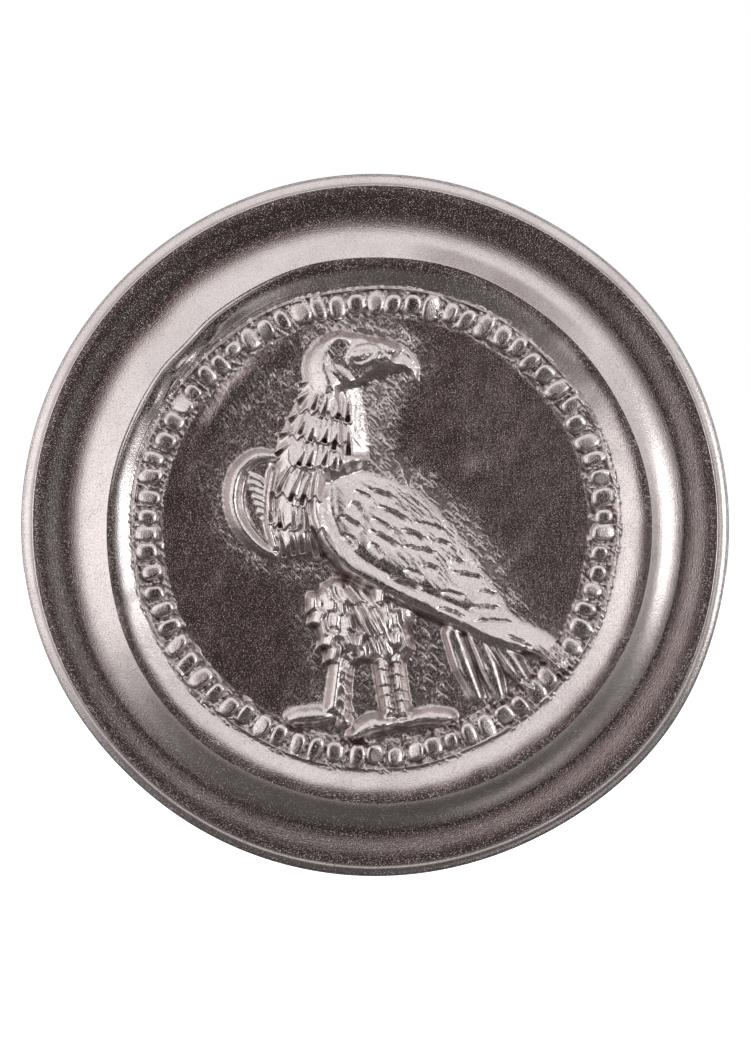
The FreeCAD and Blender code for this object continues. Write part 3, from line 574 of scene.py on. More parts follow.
def bead_border(x, z, sizes):
    """Hand-punched beads in a ring, each of its own size, set, turn, lean and height. A bead's outline is a
    superellipse of power 2.5, and its top falls as 1 less the outline's 4.2nd power, to the power 0.6. A burr
    stands between each two, and a thin scribed ridge runs along their outer ends."""
    rng = np.random.default_rng(sizes.seed + 1)
    count = sizes.beads
    pitch = TURN / count
    shift, push = rng.normal(0, 0.05, count), rng.normal(0, 0.15, count)
    long, wide = BEAD_LONG + rng.normal(0, 0.11, count), BEAD_WIDE + rng.normal(0, 0.08, count)
    high, slant = BEAD_HIGH + rng.normal(0, 0.08, count), rng.normal(0, 0.07, count)
    lean, tip = rng.normal(0.0, 0.24, count), rng.normal(-0.1, 0.22, count)
    radius, angle = np.hypot(x, z), np.arctan2(z, x) % TURN
    which = np.floor(angle / pitch).astype(int) % count
    height = np.zeros(x.shape)
    for step in (-1, 0, 1):
        bead = (which + step) % count
        middle = ((which + step) + 0.5 + shift[bead]) * pitch
        out = radius - (field_radius(angle) - BEAD_INSET + push[bead])
        across = (angle - middle) * radius + slant[bead] * out
        u, v = out / long[bead], across / wide[bead]
        outline = (np.abs(u) ** 2.5 + np.abs(v) ** 2.5) ** 0.4
        swell = np.maximum(1.0 - outline ** 4.2, 0.0) ** 0.6 * high[bead] * (1.0 + lean[bead] * v + tip[bead] * u)
        height = np.maximum(height, swell)
    beyond = radius - field_radius(angle)
    between = np.abs((angle / pitch + 0.5) % 1.0 - 0.5) * pitch * radius
    burr = (0.20 + 0.12 * np.sin(7.0 * radius + 40.0 * angle)) * bell(between / 0.13)
    burr = burr * ease((1.25 - np.abs(beyond + 1.3)) / 0.4)
    line = 0.15 + 0.05 * np.sin(9.0 * angle) + 0.05 * np.sin(23.0 * angle + 1.0)
    return np.maximum(height, burr) + line * bell((beyond - 0.02) / 0.16)


def face_height(x, z, relief, sizes):
    """The face's height inside the crease: moulding, beads and eagle, the higher of the last two winning."""
    beads = bead_border(x, z, sizes)
    eagle = sample(relief, relief.height, x, z)
    share = np.clip(0.5 + 0.5 * (eagle - beads) / 0.12, 0.0, 1.0)
    return moulding(x, z, sizes) + beads + (eagle - beads) * share + 0.12 * share * (1.0 - share)


def between_beads(x, z):
    """How far a point is within the rough, punched ground of the border, from 0 to 1."""
    radius, angle = np.hypot(x, z), np.arctan2(z, x) % TURN
    out = radius - field_radius(angle) + 1.35
    return ease((1.95 - np.abs(out)) / 0.5)


# ---- Meshes ---------------------------------------------------------------------------------------------------

def new_piece(name, points, faces, material, replaced=(), normals=None, fields=None):
    """A closed, smooth mesh from points in millimetres (x, z, height), riding on the disc.

    normals are the surface's own at the points, with zeros where Blender is to work them out. fields are named
    numbers kept at the points for the material.
    """
    points = np.asarray(points, float)
    mesh = bpy.data.meshes.new(name)
    placed = np.stack([points[:, 0], -points[:, 2], points[:, 1]], axis=1) * MM
    mesh.from_pydata(placed, [], [face.tolist() for face in faces])
    mesh.update()
    mesh.polygons.foreach_set("use_smooth", np.ones(len(mesh.polygons), bool))
    for key, values in (fields or {}).items():
        mesh.attributes.new(key, "FLOAT", "POINT").data.foreach_set("value", np.asarray(values, np.float32))
    if normals is not None:
        turned = np.stack([normals[:, 0], -normals[:, 2], normals[:, 1]], axis=1)
        mesh.normals_split_custom_set_from_vertices(turned.tolist())
    piece = bpy.data.objects.new(name, mesh)
    bpy.context.collection.objects.link(piece)
    mesh.materials.append(material)
    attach(piece, "root")
    if replaced:
        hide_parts(*replaced)
    return piece


def quads(rows, columns, close_rows=False, close_columns=False):
    """Corner numbers of the quads of a grid of points, counted row by row, closed round either way."""
    i = np.arange(rows if close_rows else rows - 1)[:, None]
    j = np.arange(columns if close_columns else columns - 1)[None, :]
    below, right = (i + 1) % rows, (j + 1) % columns
    corners = [i * columns + j, below * columns + j, below * columns + right, i * columns + right]
    return np.stack(np.broadcast_arrays(*corners), axis=-1).reshape(-1, 4)


def slope_normals(x, z, height_at, step=0.05):
    """Unit normals of a height field, from the height's central differences across a small step."""
    east = (height_at(x + step, z) - height_at(x - step, z)) / (2 * step)
    north = (height_at(x, z + step) - height_at(x, z - step)) / (2 * step)
    normals = np.stack([-east, -north, np.ones(x.shape)], axis=-1)
    return normals / np.linalg.norm(normals, axis=-1, keepdims=True)


def surface_fields(x, z, relief, sizes):
    """The material's numbers over the field: how hollow the sheet is, and how matted."""
    hollow = sample(relief, relief.hollow, x, z) + 0.22 * between_beads(x, z) * (bead_border(x, z, sizes) < 0.12)
    raised = ease(np.maximum(sample(relief, relief.height, x, z), bead_border(x, z, sizes)) / 0.35)
    on_moulding = ease((np.hypot(x, z) - field_radius(np.arctan2(z, x)) + 0.2) / 0.6)
    matted = sample(relief, relief.matted, x, z) * (1.0 - 0.85 * ease(bead_border(x, z, sizes) / 0.2))
    return {"hollow": hollow, "matted": matted, "rubbed": np.maximum(raised, on_moulding)}


def disc_points(radius, cells):
    """A square grid of points drawn onto a disc, each square ring of the grid onto a circle."""
    line = np.linspace(-1.0, 1.0, cells + 1)
    a, b = np.meshgrid(line, line)
    ring = np.maximum(np.abs(a), np.abs(b))
    wide = np.abs(a) >= np.abs(b)
    safe_a, safe_b = np.where(a == 0, 1, a), np.where(b == 0, 1, b)
    angle = np.where(wide, math.pi / 4 * b / safe_a + np.where(a < 0, math.pi, 0),
                     math.pi / 2 - math.pi / 4 * a / safe_b + np.where(b < 0, math.pi, 0))
    return ring * radius * np.cos(angle), ring * radius * np.sin(angle)


def ring_angles(cells):
    """The angles at which a disc grid's rim points lie, which the rings round it share."""
    return -math.pi / 4 + np.arange(4 * cells) * TURN / (4 * cells)


def rim_numbers(cells):
    """The numbers of a square grid's outer points, once round from its lower right corner."""
    size = cells + 1
    right = np.arange(cells) * size + cells
    top = cells * size + np.arange(cells, 0, -1)
    left = np.arange(cells, 0, -1) * size
    bottom = np.arange(cells)
    return np.concatenate([right, top, left, bottom])


def make_middle(name, radius, relief, sizes, material):
    """The middle of the face: the relief in front, a level back a sheet's thickness behind the field."""
    cells = sizes.middle_cells
    x, z = disc_points(radius, cells)
    x, z = x.ravel(), z.ravel()

    def height_at(px, pz):
        return face_height(px, pz, relief, sizes)

    front = np.stack([x, z, height_at(x, z)], axis=1)
    rim = rim_numbers(cells)
    behind = front[rim].copy()
    behind[:, 2] = sizes.field_height - sizes.sheet
    hub = np.array([[0.0, 0.0, sizes.field_height - sizes.sheet]])
    following = np.roll(np.arange(len(rim)), -1)
    first = len(front)
    wall = np.stack([rim, first + np.arange(len(rim)), first + following, rim[following]], axis=1)
    fan = np.stack([first + following, first + np.arange(len(rim)), np.full(len(rim), first + len(rim))], axis=1)
    faces = list(quads(cells + 1, cells + 1)[:, ::-1]) + list(wall) + list(fan)
    points = np.vstack([front, behind, hub])
    normals = np.zeros(points.shape)
    normals[:first] = slope_normals(x, z, height_at)
    fields = {key: np.concatenate([values, np.zeros(len(points) - first)])
              for key, values in surface_fields(x, z, relief, sizes).items()}
    return new_piece(name, points, faces, material, normals=normals, fields=fields)


def make_ring(name, inner, outer, steps, relief, sizes, material):
    """A ring of the face between two radii, which may change with the angle, closed behind."""
    angles = ring_angles(sizes.middle_cells)
    low, high = [edge(angles) if callable(edge) else np.full(angles.shape, edge) for edge in (inner, outer)]
    share = np.linspace(0.0, 1.0, steps + 1)
    radius = low[:, None] + (high - low)[:, None] * share
    x, z = radius * np.cos(angles)[:, None], radius * np.sin(angles)[:, None]

    def height_at(px, pz):
        return face_height(px, pz, relief, sizes)

    front = np.stack([x, z, height_at(x, z)], axis=-1)
    behind = front[:, [-1, 0]].copy()
    behind[:, :, 2] = sizes.field_height - sizes.sheet
    grid = np.concatenate([front, behind], axis=1)
    normals = np.zeros(grid.shape)
    normals[:, :steps + 1] = slope_normals(x, z, height_at)
    fields = {}
    for key, values in surface_fields(x, z, relief, sizes).items():
        fields[key] = np.concatenate([values, np.zeros((len(angles), 2))], axis=1).ravel()
    faces = quads(len(angles), grid.shape[1], True, True)[:, ::-1]
    return new_piece(name, grid.reshape(-1, 3), faces, material,
                     normals=normals.reshape(-1, 3), fields=fields)


def arc(r0, h0, r1, h1, bulge, count):
    """Points on arcs between two points of a section at each angle, leaving out the last. bulge is an arc's
    height over half its chord, positive to the left of its way."""
    t = np.linspace(0.0, 1.0, count + 1)[:-1]
    r0, h0, r1, h1 = [np.asarray(value)[..., None] for value in (r0, h0, r1, h1)]
    half_turn = 2.0 * math.atan(bulge)
    along, aside = t, 0.0 * t
    if bulge:
        turn = half_turn * (2.0 * t - 1.0)
        along = 0.5 + 0.5 * np.sin(turn) / math.sin(half_turn)
        aside = 0.5 * (np.cos(turn) - math.cos(half_turn)) / math.sin(half_turn)
    across_r, across_h = r1 - r0, h1 - h0
    return np.stack([r0 + across_r * along - across_h * aside, h0 + across_h * along + across_r * aside], axis=-1)


def swell(r0, h0, r1, h1, count):
    """Points from one height to another along half a cosine wave, leaving out the last."""
    t = np.linspace(0.0, 1.0, count + 1)[:-1]
    r0, h0, r1, h1 = [np.asarray(value)[..., None] for value in (r0, h0, r1, h1)]
    return np.stack([r0 + (r1 - r0) * t, h0 + (h1 - h0) * (0.5 - 0.5 * np.cos(math.pi * t))], axis=-1)


def rim_section(angle, sizes):
    """The rim's closed section at each angle, as radius and height, and how many of its points lie outside: from
    the crease down to the flute, over the lip and round the rolled edge to the hem behind, then back inside."""
    crease, crest, edge = crease_radius(angle), crest_height(angle), edge_radius(angle)
    sway = 0.06 * np.sin(2 * angle + 0.4) + 0.04 * np.sin(5 * angle + 1.3) + 0.03 * np.sin(9 * angle)
    sheet, high = sizes.sheet + 0.0 * angle, sizes.edge_height + 0.0 * angle
    flute, floor = FLUTE_RADIUS + sway, high - FLUTE_DEPTH + 0.3 * sway
    lip, roll = edge - LIP_INSET + 0.5 * sway, edge - ROLL_INSET
    ragged = sizes.hem_radius + 0.12 * np.sin(23 * angle) * np.sin(4 * angle)
    rear = 0.0 * angle
    outside = [arc(crease, crest, flute, floor, -0.175, WALL_POINTS), swell(flute, floor, lip, high, SWELL_POINTS),
               arc(lip, high, roll, high, 0.0, LIP_POINTS), arc(roll, high, edge, high / 2, -0.414, 14),
               arc(edge, high / 2, roll, rear, -0.414, 10), arc(roll, rear, ragged, rear, 0.0, 6)]
    within = [arc(ragged, rear, ragged, sheet, 0.0, 2), arc(ragged, sheet, roll, sheet, 0.0, 3),
              arc(roll, sheet, edge - sheet, high / 2, 0.414, 4),
              arc(edge - sheet, high / 2, roll, high - sheet, 0.414, 4),
              arc(roll, high - sheet, lip, high - sheet, 0.0, 2),
              swell(lip, high - sheet, flute, floor - sheet, 5),
              arc(flute, floor - sheet, crease, crest - 1.15 * sheet, 0.175, 8),
              np.stack([crease, crest - 1.15 * sheet], axis=-1)[..., None, :]]
    return np.concatenate(outside + within, axis=-2), sum(part.shape[-2] for part in outside)


def ring_normals(grid):
    """Unit normals of a grid of points whose rows close round: the cross product of its two directions, by
    differences along each."""
    round_it = np.roll(grid, -1, axis=0) - np.roll(grid, 1, axis=0)
    normals = np.cross(np.gradient(grid, axis=1), round_it)
    return normals / np.maximum(np.linalg.norm(normals, axis=-1, keepdims=True), 1e-12)


def make_rim(name, sizes, material, replaced):
    """The rim: its section carried round the axis, with the crease, lip and edge wandering as the section says."""
    count = sizes.rim_cells
    angle = np.arange(count) * TURN / count
    section, outside = rim_section(angle, sizes)
    radius, height = section[..., 0], section[..., 1]
    grid = np.stack([radius * np.cos(angle)[:, None], radius * np.sin(angle)[:, None], height], axis=-1)
    normals = np.zeros(grid.shape)
    normals[:, :outside] = ring_normals(grid[:, :outside])
    none = np.zeros(radius.size)
    rubbed = 1.0 - 0.8 * ease((radius - 31.0) / 1.2) * ease((36.0 - radius) / 0.5)
    fields = {"hollow": none, "matted": none, "rubbed": rubbed.ravel()}
    faces = quads(count, grid.shape[1], True, True)[:, ::-1]
    return new_piece(name, grid.reshape(-1, 3), faces, material, replaced,
                     normals.reshape(-1, 3), fields)


def make_pitch(name, sizes, material, replaced):
    """The pitch: a flat-bottomed round cake that fills the sheet's hollow, up against its back all the way out. Its
    top is the field's or the flute's height, whichever is lower, less the sheet and a hair's gap."""
    field_gap, flute_gap, edge_gap, least = 0.03, 0.05, 1.45, 0.15
    angle = np.arange(sizes.pitch_cells) * TURN / sizes.pitch_cells
    crease = crease_radius(angle)[:, None]
    radius = np.linspace(0.02, 1.0, 60) * (edge_radius(angle)[:, None] - edge_gap)
    sections = rim_section(angle, sizes)[0][:, :WALL_POINTS + SWELL_POINTS + LIP_POINTS]
    field, level = sizes.field_height - sizes.sheet - field_gap, sizes.plate_top
    falling = np.stack([np.interp(r, line[:, 0], line[:, 1]) for r, line in zip(radius, sections)])
    top = np.where(radius < crease, field, np.minimum(falling - sizes.sheet - flute_gap, field))
    top = np.maximum(top, level + least)
    top += 0.015 * np.sin(radius * 2.0 + 3.0 * np.sin(angle * 3.0)[:, None])
    grid_radius = np.concatenate([radius, radius[:, ::-1]], axis=1)
    grid_height = np.concatenate([top, np.full(radius.shape, level)], axis=1)
    along, across = np.cos(angle)[:, None], np.sin(angle)[:, None]
    grid = np.stack([grid_radius * along, grid_radius * across, grid_height], axis=-1)
    count, columns = grid.shape[:2]
    points = np.vstack([grid.reshape(-1, 3), [[0.0, 0.0, field], [0.0, 0.0, level]]])
    each = np.arange(count)
    following = (each + 1) % count
    front = np.stack([each * columns, following * columns, np.full(count, count * columns)], axis=1)
    back = np.stack([following * columns + columns - 1, each * columns + columns - 1,
                     np.full(count, count * columns + 1)], axis=1)
    faces = list(quads(count, columns, True)[:, ::-1]) + list(front) + list(back)
    return new_piece(name, points, faces, material, replaced)


# ---- Materials ------------------------------------------------------------------------------------------------

def add(tree, kind, inputs=None, **settings):
    """Adds a node to a tree with its settings. An input is a number or another node's output."""
    node = tree.nodes.new(kind)
    for key, value in settings.items():
        setattr(node, key, value)
    for key, value in (inputs or {}).items():
        if isinstance(value, bpy.types.NodeSocket):
            tree.links.new(value, node.inputs[key])
        else:
            node.inputs[key].default_value = value
    return node


def maths(tree, operation, first, second=0.0, third=0.0):
    """The output of a Math node."""
    inputs = {key: value for key, value in enumerate((first, second, third))}
    return add(tree, "ShaderNodeMath", inputs, operation=operation).outputs[0]


def product(tree, first, *others):
    """The product of several values."""
    for value in others:
        first = maths(tree, "MULTIPLY", first, value)
    return first


def total(tree, first, *others):
    """The sum of several values."""
    for value in others:
        first = maths(tree, "ADD", first, value)
    return first


def between(tree, value, low, high, start=0.0, end=1.0):
    """A value carried from one range to another, eased at both ends."""
    inputs = {"Value": value, "From Min": low, "From Max": high, "To Min": start, "To Max": end}
    return add(tree, "ShaderNodeMapRange", inputs, interpolation_type="SMOOTHSTEP").outputs["Result"]


def noise(tree, where, scale, detail=3.0, rough=0.6, stretch=None):
    """Noise with a scale in turns per millimetre, drawn out by the inverse of stretch along each axis."""
    if stretch:
        where = add(tree, "ShaderNodeVectorMath", {0: where, 1: stretch}, operation="MULTIPLY").outputs[0]
    return add(tree, "ShaderNodeTexNoise", {"Vector": where, "Scale": scale, "Detail": detail,
                                            "Roughness": rough}).outputs["Fac"]


def mixed(tree, share, first, second):
    """A colour between two, by a share from 0 to 1. Each colour is a triple or an output."""
    node = add(tree, "ShaderNodeMix", data_type="RGBA")
    for key, value in ((0, share), (6, first), (7, second)):
        if isinstance(value, bpy.types.NodeSocket):
            tree.links.new(value, node.inputs[key])
        else:
            node.inputs[key].default_value = value if key == 0 else (*value, 1.0)
    return node.outputs[2]


def new_material(name, metallic):
    """A material with its tree, its Principled shader and the place on the piece in millimetres."""
    material = bpy.data.materials.new(name)
    material.use_nodes = True
    tree = material.node_tree
    tree.nodes.clear()
    shader = add(tree, "ShaderNodeBsdfPrincipled", {"Metallic": metallic})
    out = add(tree, "ShaderNodeOutputMaterial")
    tree.links.new(shader.outputs[0], out.inputs["Surface"])
    where = add(tree, "ShaderNodeTexCoord").outputs["Object"]
    place = add(tree, "ShaderNodeVectorMath", {0: where, "Scale": 1.0 / MM}, operation="SCALE").outputs[0]
    return material, tree, shader, place


def polar(tree, place):
    """The distance from the disc's axis, and the direction from it as a unit vector, which has no seam."""
    flat = add(tree, "ShaderNodeVectorMath", {0: place, 1: (1.0, 0.0, 1.0)}, operation="MULTIPLY").outputs[0]
    radius = add(tree, "ShaderNodeVectorMath", {0: flat}, operation="LENGTH").outputs["Value"]
    out = add(tree, "ShaderNodeVectorMath", {0: flat}, operation="NORMALIZE").outputs[0]
    return radius, out


def bumped(tree, shader, heights):
    """Joins a shader's Normal to bumps, each a height output and its depth in millimetres."""
    normal = None
    for height, depth in heights:
        inputs = {"Height": height, "Distance": depth * MM, "Strength": 1.0}
        if normal is not None:
            inputs["Normal"] = normal
        normal = add(tree, "ShaderNodeBump", inputs).outputs[0]
    tree.links.new(normal, shader.inputs["Normal"])


def silver_material(finish):
    """Antiqued silvered sheet: bright where it is rubbed, brown in its hollows and over its level field, with a
    stain outside the crease at the upper right, a fine grain, turning marks round the rim and brushing on the
    field."""
    material, tree, shader, place = new_material("aged_silver", 1.0)
    radius, out = polar(tree, place)
    hollow, matted, rubbed = [add(tree, "ShaderNodeAttribute", attribute_name=name).outputs["Fac"]
                              for name in ("hollow", "matted", "rubbed")]
    grain = noise(tree, place, 7.5, 2.0, 0.7)
    fine = noise(tree, place, 8.0, 1.0, 0.5)
    specks = between(tree, noise(tree, place, 8.5, 0.0, 0.5), 0.69, 0.80)
    in_hollow = between(tree, hollow, 0.07, 0.50)
    on_rim = between(tree, radius, 27.8, 28.8)

    # How dark the metal is, from 0 to 1.
    clouds = product(tree, between(tree, noise(tree, place, 0.22, 3.0, 0.6), 0.35, 0.75), 0.12)
    toward = add(tree, "ShaderNodeVectorMath", {0: out, 1: (0.47, 0.0, 0.88)}, operation="DOT_PRODUCT").outputs[1]
    stain = product(tree, between(tree, toward, 0.90, 0.99), between(tree, radius, 28.2, 28.8),
                    between(tree, radius, 30.6, 29.8))
    unrubbed = maths(tree, "MULTIPLY_ADD", rubbed, -finish.field_patina, finish.field_patina)
    dark = maths(tree, "MAXIMUM", product(tree, in_hollow, finish.hollow_patina), clouds)
    dark = total(tree, dark, product(tree, specks, 0.10), product(tree, between(tree, grain, 0.35, 0.72), 0.22),
                 product(tree, stain, 0.40), unrubbed)
    colour = mixed(tree, maths(tree, "MINIMUM", dark, 0.96), tuple(finish.silver), tuple(finish.patina))
    tree.links.new(colour, shader.inputs["Base Color"])

    rough = total(tree, finish.silver_roughness, product(tree, matted, 0.12), product(tree, grain, 0.10),
                  product(tree, in_hollow, 0.14))
    tree.links.new(rough, shader.inputs["Roughness"])

    ring = add(tree, "ShaderNodeCombineXYZ", {0: radius}).outputs[0]
    around = add(tree, "ShaderNodeVectorMath", {0: out, 1: (2.2, 2.2, 2.2), 2: ring},
                 operation="MULTIPLY_ADD").outputs[0]
    turned = noise(tree, around, 1.0, 4.0, 0.75, stretch=(6.0, 1.0, 1.0))
    brushed = noise(tree, place, 1.0, 3.0, 0.7, stretch=(15.0, 1.0, 0.16))
    across = add(tree, "ShaderNodeSeparateXYZ", {0: place}).outputs[0]
    on_field = maths(tree, "SUBTRACT", 1.0, on_rim)
    lines = product(tree, brushed, on_field, between(tree, across, 2.0, 12.0))
    bumped(tree, shader, [(grain, 0.012), (fine, 0.016), (specks, 0.018), (product(tree, turned, on_rim), 0.012),
                          (lines, 0.010)])
    return material


def copper_material(name, finish, colour, hammered):
    """Worn sheet metal: hammer marks, drawn lines, a fine grain, and the brown clouds and dark spots of age."""
    material, tree, shader, place = new_material(name, 1.0)
    marks = add(tree, "ShaderNodeTexVoronoi", {"Vector": place, "Scale": 0.32, "Smoothness": 0.6},
                feature="SMOOTH_F1").outputs["Distance"]
    spots = between(tree, noise(tree, place, 1.3, 3.0, 0.6), 0.56, 0.68)
    grain = noise(tree, place, 5.0, 3.0, 0.7)
    drawn = noise(tree, place, 1.0, 3.0, 0.7, stretch=(0.5, 6.0, 6.0))
    aged = between(tree, noise(tree, place, 0.18, 4.0, 0.62), 0.38, 0.66)
    share = maths(tree, "MINIMUM", total(tree, product(tree, aged, 0.55), product(tree, spots, 0.35)), 0.9)
    tint = mixed(tree, between(tree, grain, 0.3, 0.7), colour, tuple(0.82 * part for part in colour))
    tree.links.new(mixed(tree, share, tint, tuple(finish.tarnish)), shader.inputs["Base Color"])
    tree.links.new(maths(tree, "MULTIPLY_ADD", share, 0.22, 0.27), shader.inputs["Roughness"])
    bumped(tree, shader, [(marks, 0.10 * hammered), (grain, 0.012), (drawn, 0.006)])
    return material


def pitch_material(finish):
    """Set pitch: near black, faintly brown, with a dull gloss and small pits."""
    material, tree, shader, place = new_material("set_pitch", 0.0)
    pits = noise(tree, place, 1.6, 4.0, 0.6)
    colour = mixed(tree, between(tree, pits, 0.35, 0.7), tuple(finish.pitch), tuple(2.2 * p for p in finish.pitch))
    tree.links.new(colour, shader.inputs["Base Color"])
    tree.links.new(between(tree, pits, 0.3, 0.7, 0.35, 0.6), shader.inputs["Roughness"])
    bumped(tree, shader, [(pits, 0.08)])
    return material


def paint_node(name, material):
    """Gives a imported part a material, which takes the place of its own."""
    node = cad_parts[name]
    node.data.materials.clear()
    node.data.materials.append(material)


# ---- The studio -----------------------------------------------------------------------------------------------

def make_world(stage):
    """Soft light from all round: a dark space about the camera, paler at its upper left, light sides and top, a
    brighter left, a dark floor side with a small card in it, and one hard-edged soft box to the right.

    Each is a function of the direction: its angle off the disc's axis, and how far its bearing round that axis
    points upward and rightward, from -1 to 1.
    """
    world = bpy.data.worlds.new("studio")
    world.use_nodes = True
    tree = world.node_tree
    tree.nodes.clear()
    way = add(tree, "ShaderNodeTexCoord").outputs["Generated"]
    parts = add(tree, "ShaderNodeSeparateXYZ", {0: way}).outputs
    off = maths(tree, "ARCCOSINE", product(tree, parts[1], -1.0))
    flat = add(tree, "ShaderNodeVectorMath", {0: way, 1: (1.0, 0.0, 1.0)}, operation="MULTIPLY").outputs[0]
    side = maths(tree, "MAXIMUM", add(tree, "ShaderNodeVectorMath", {0: flat}, operation="LENGTH").outputs[1], 0.01)
    upward, rightward = maths(tree, "DIVIDE", parts[2], side), maths(tree, "DIVIDE", parts[0], side)
    to_the_right = between(tree, rightward, 0.0, 0.2)

    def off_axis(start, end):
        """How far a direction is past one angle off the axis towards another, in degrees."""
        return between(tree, off, math.radians(start), math.radians(end))

    # Dim below to bright above, the same all round.
    sides = mixed(tree, between(tree, upward, -1.0, 1.0), (0.11, 0.1018, 0.1007), (1.0, 1.0, 1.0))

    # The dark space about the camera opens onto the sides, sooner to the left and right.
    wider = maths(tree, "MULTIPLY_ADD", product(tree, rightward, rightward), 0.35, 1.0)
    opened = between(tree, product(tree, off, wider), stage.dark_angle, stage.light_angle)
    upper_left = product(tree, between(tree, parts[0], -0.02, -0.14), between(tree, parts[2], -0.07, 0.02))
    paler = maths(tree, "MULTIPLY_ADD", upper_left, 7.0, 0.85)
    dark = add(tree, "ShaderNodeVectorMath", {0: tuple(stage.camera_side), 1: paler}, operation="MULTIPLY").outputs[0]
    light = mixed(tree, opened, dark, sides)

    left = product(tree, between(tree, upward, -0.72, -0.2), between(tree, upward, 0.75, 0.1),
                   between(tree, rightward, 0.0, -0.35), opened, 0.65)
    light = mixed(tree, left, light, (1.75, 1.72, 1.70))
    light = mixed(tree, off_axis(88, 104), light, (0.85, 0.85, 0.85))
    box = product(tree, between(tree, upward, -0.27, -0.25), between(tree, upward, 0.27, 0.25), off_axis(34, 36),
                  off_axis(66, 63), to_the_right)
    light = mixed(tree, box, light, (stage.soft_box,) * 3)
    card = product(tree, between(tree, upward, -0.96, -0.90), between(tree, upward, -0.70, -0.78), off_axis(30, 34),
                   off_axis(52, 46), to_the_right)
    light = mixed(tree, card, light, (0.75, 0.73, 0.72))
    rays = add(tree, "ShaderNodeLightPath").outputs["Is Camera Ray"]
    shown = mixed(tree, rays, light, (1.0, 1.0, 1.0))
    background = add(tree, "ShaderNodeBackground", {"Color": shown, "Strength": 1.0})
    out = add(tree, "ShaderNodeOutputWorld")
    tree.links.new(background.outputs[0], out.inputs["Surface"])
    bpy.context.scene.world = world


def make_floor(stage):
    """A wide, level, pale floor just under the rim, which doesn't show in the metal."""
    low, reach = CAD_BOX[0][2] - stage.floor_gap, stage.floor_reach
    mesh = bpy.data.meshes.new("floor")
    corners = [(-reach, -reach, low), (reach, -reach, low), (reach, reach, low), (-reach, reach, low)]
    mesh.from_pydata(corners, [], [(0, 1, 2, 3)])
    floor = bpy.data.objects.new("floor", mesh)
    bpy.context.collection.objects.link(floor)
    material, _, shader, _ = new_material("pale_floor", 0.0)
    shader.inputs["Base Color"].default_value = (*stage.floor, 1.0)
    shader.inputs["Roughness"].default_value = 0.9
    shader.inputs["Emission Color"].default_value = (1.0, 1.0, 1.0, 1.0)
    shader.inputs["Emission Strength"].default_value = stage.floor_glow
    mesh.materials.append(material)
    floor.visible_glossy = False


def make_camera(stage):
    """A long lens square to the face, level with the disc's middle, and as far off as its share in view needs."""
    camera = bpy.data.objects.new("camera", bpy.data.cameras.new("camera"))
    camera.data.lens = stage.lens
    camera.data.sensor_fit = "VERTICAL"
    camera.data.sensor_height = 36.0
    height_in_view = stage.in_view * 2.0 * EDGE_RADIUS * MM
    away = height_in_view * stage.lens / camera.data.sensor_height
    camera.location = (0.0, -away - stage.framed_height, 0.0)
    camera.rotation_euler = (math.radians(90), 0.0, 0.0)
    camera.data.clip_start, camera.data.clip_end = 0.01, 50.0
    bpy.context.collection.objects.link(camera)
    bpy.context.scene.camera = camera
    bpy.context.scene.view_settings.view_transform = "Standard"
    bpy.context.scene.view_settings.look = "None"


# ---- Sizes and finishes a user would change -------------------------------------------------------------------

class PhaleraSizes(PropertyGroup):
    """The sizes of the sheet and of the meshes that show it."""
    sheet: FloatProperty(name="Sheet", description="Thickness of the silvered sheet", default=0.0004, unit="LENGTH")
    field_height: FloatProperty(name="Field height", description="Height of the level field above the hem",
                                default=0.0029, unit="LENGTH")
    edge_height: FloatProperty(name="Edge height", description="Height of the rolled edge", default=0.0024,
                               unit="LENGTH")
    hem_radius: FloatProperty(name="Hem radius", description="Radius of the turned-over sheet's inner edge",
                              default=0.0338, unit="LENGTH")
    plate_top: FloatProperty(name="Pitch floor", description="Height of the back plate's upper face",
                             default=0.0012, unit="LENGTH")
    middle_radius: FloatProperty(name="Middle radius", description="Radius of the middle mesh of the face",
                                 default=0.014, unit="LENGTH")
    border_radius: FloatProperty(name="Border radius", description="Inner radius of the beaded border's mesh",
                                 default=0.0232, unit="LENGTH")
    map_step: FloatProperty(name="Relief step", description="Spacing of the relief's height map", default=0.00009,
                            unit="LENGTH", precision=6)
    beads: IntProperty(name="Beads", description="Number of beads in the border", default=74, min=20)
    middle_cells: IntProperty(name="Middle cells", description="Cells along each side of the middle mesh",
                              default=310, min=20)
    field_steps: IntProperty(name="Field steps", description="Steps across the field's ring", default=74, min=4)
    border_steps: IntProperty(name="Border steps", description="Steps across the beaded border", default=74, min=4)
    rim_cells: IntProperty(name="Rim cells", description="Cells round the rim", default=720, min=48)
    pitch_cells: IntProperty(name="Pitch cells", description="Cells round the pitch", default=120, min=24)
    seed: IntProperty(name="Seed", description="Start of the hand-made unevenness", default=7)


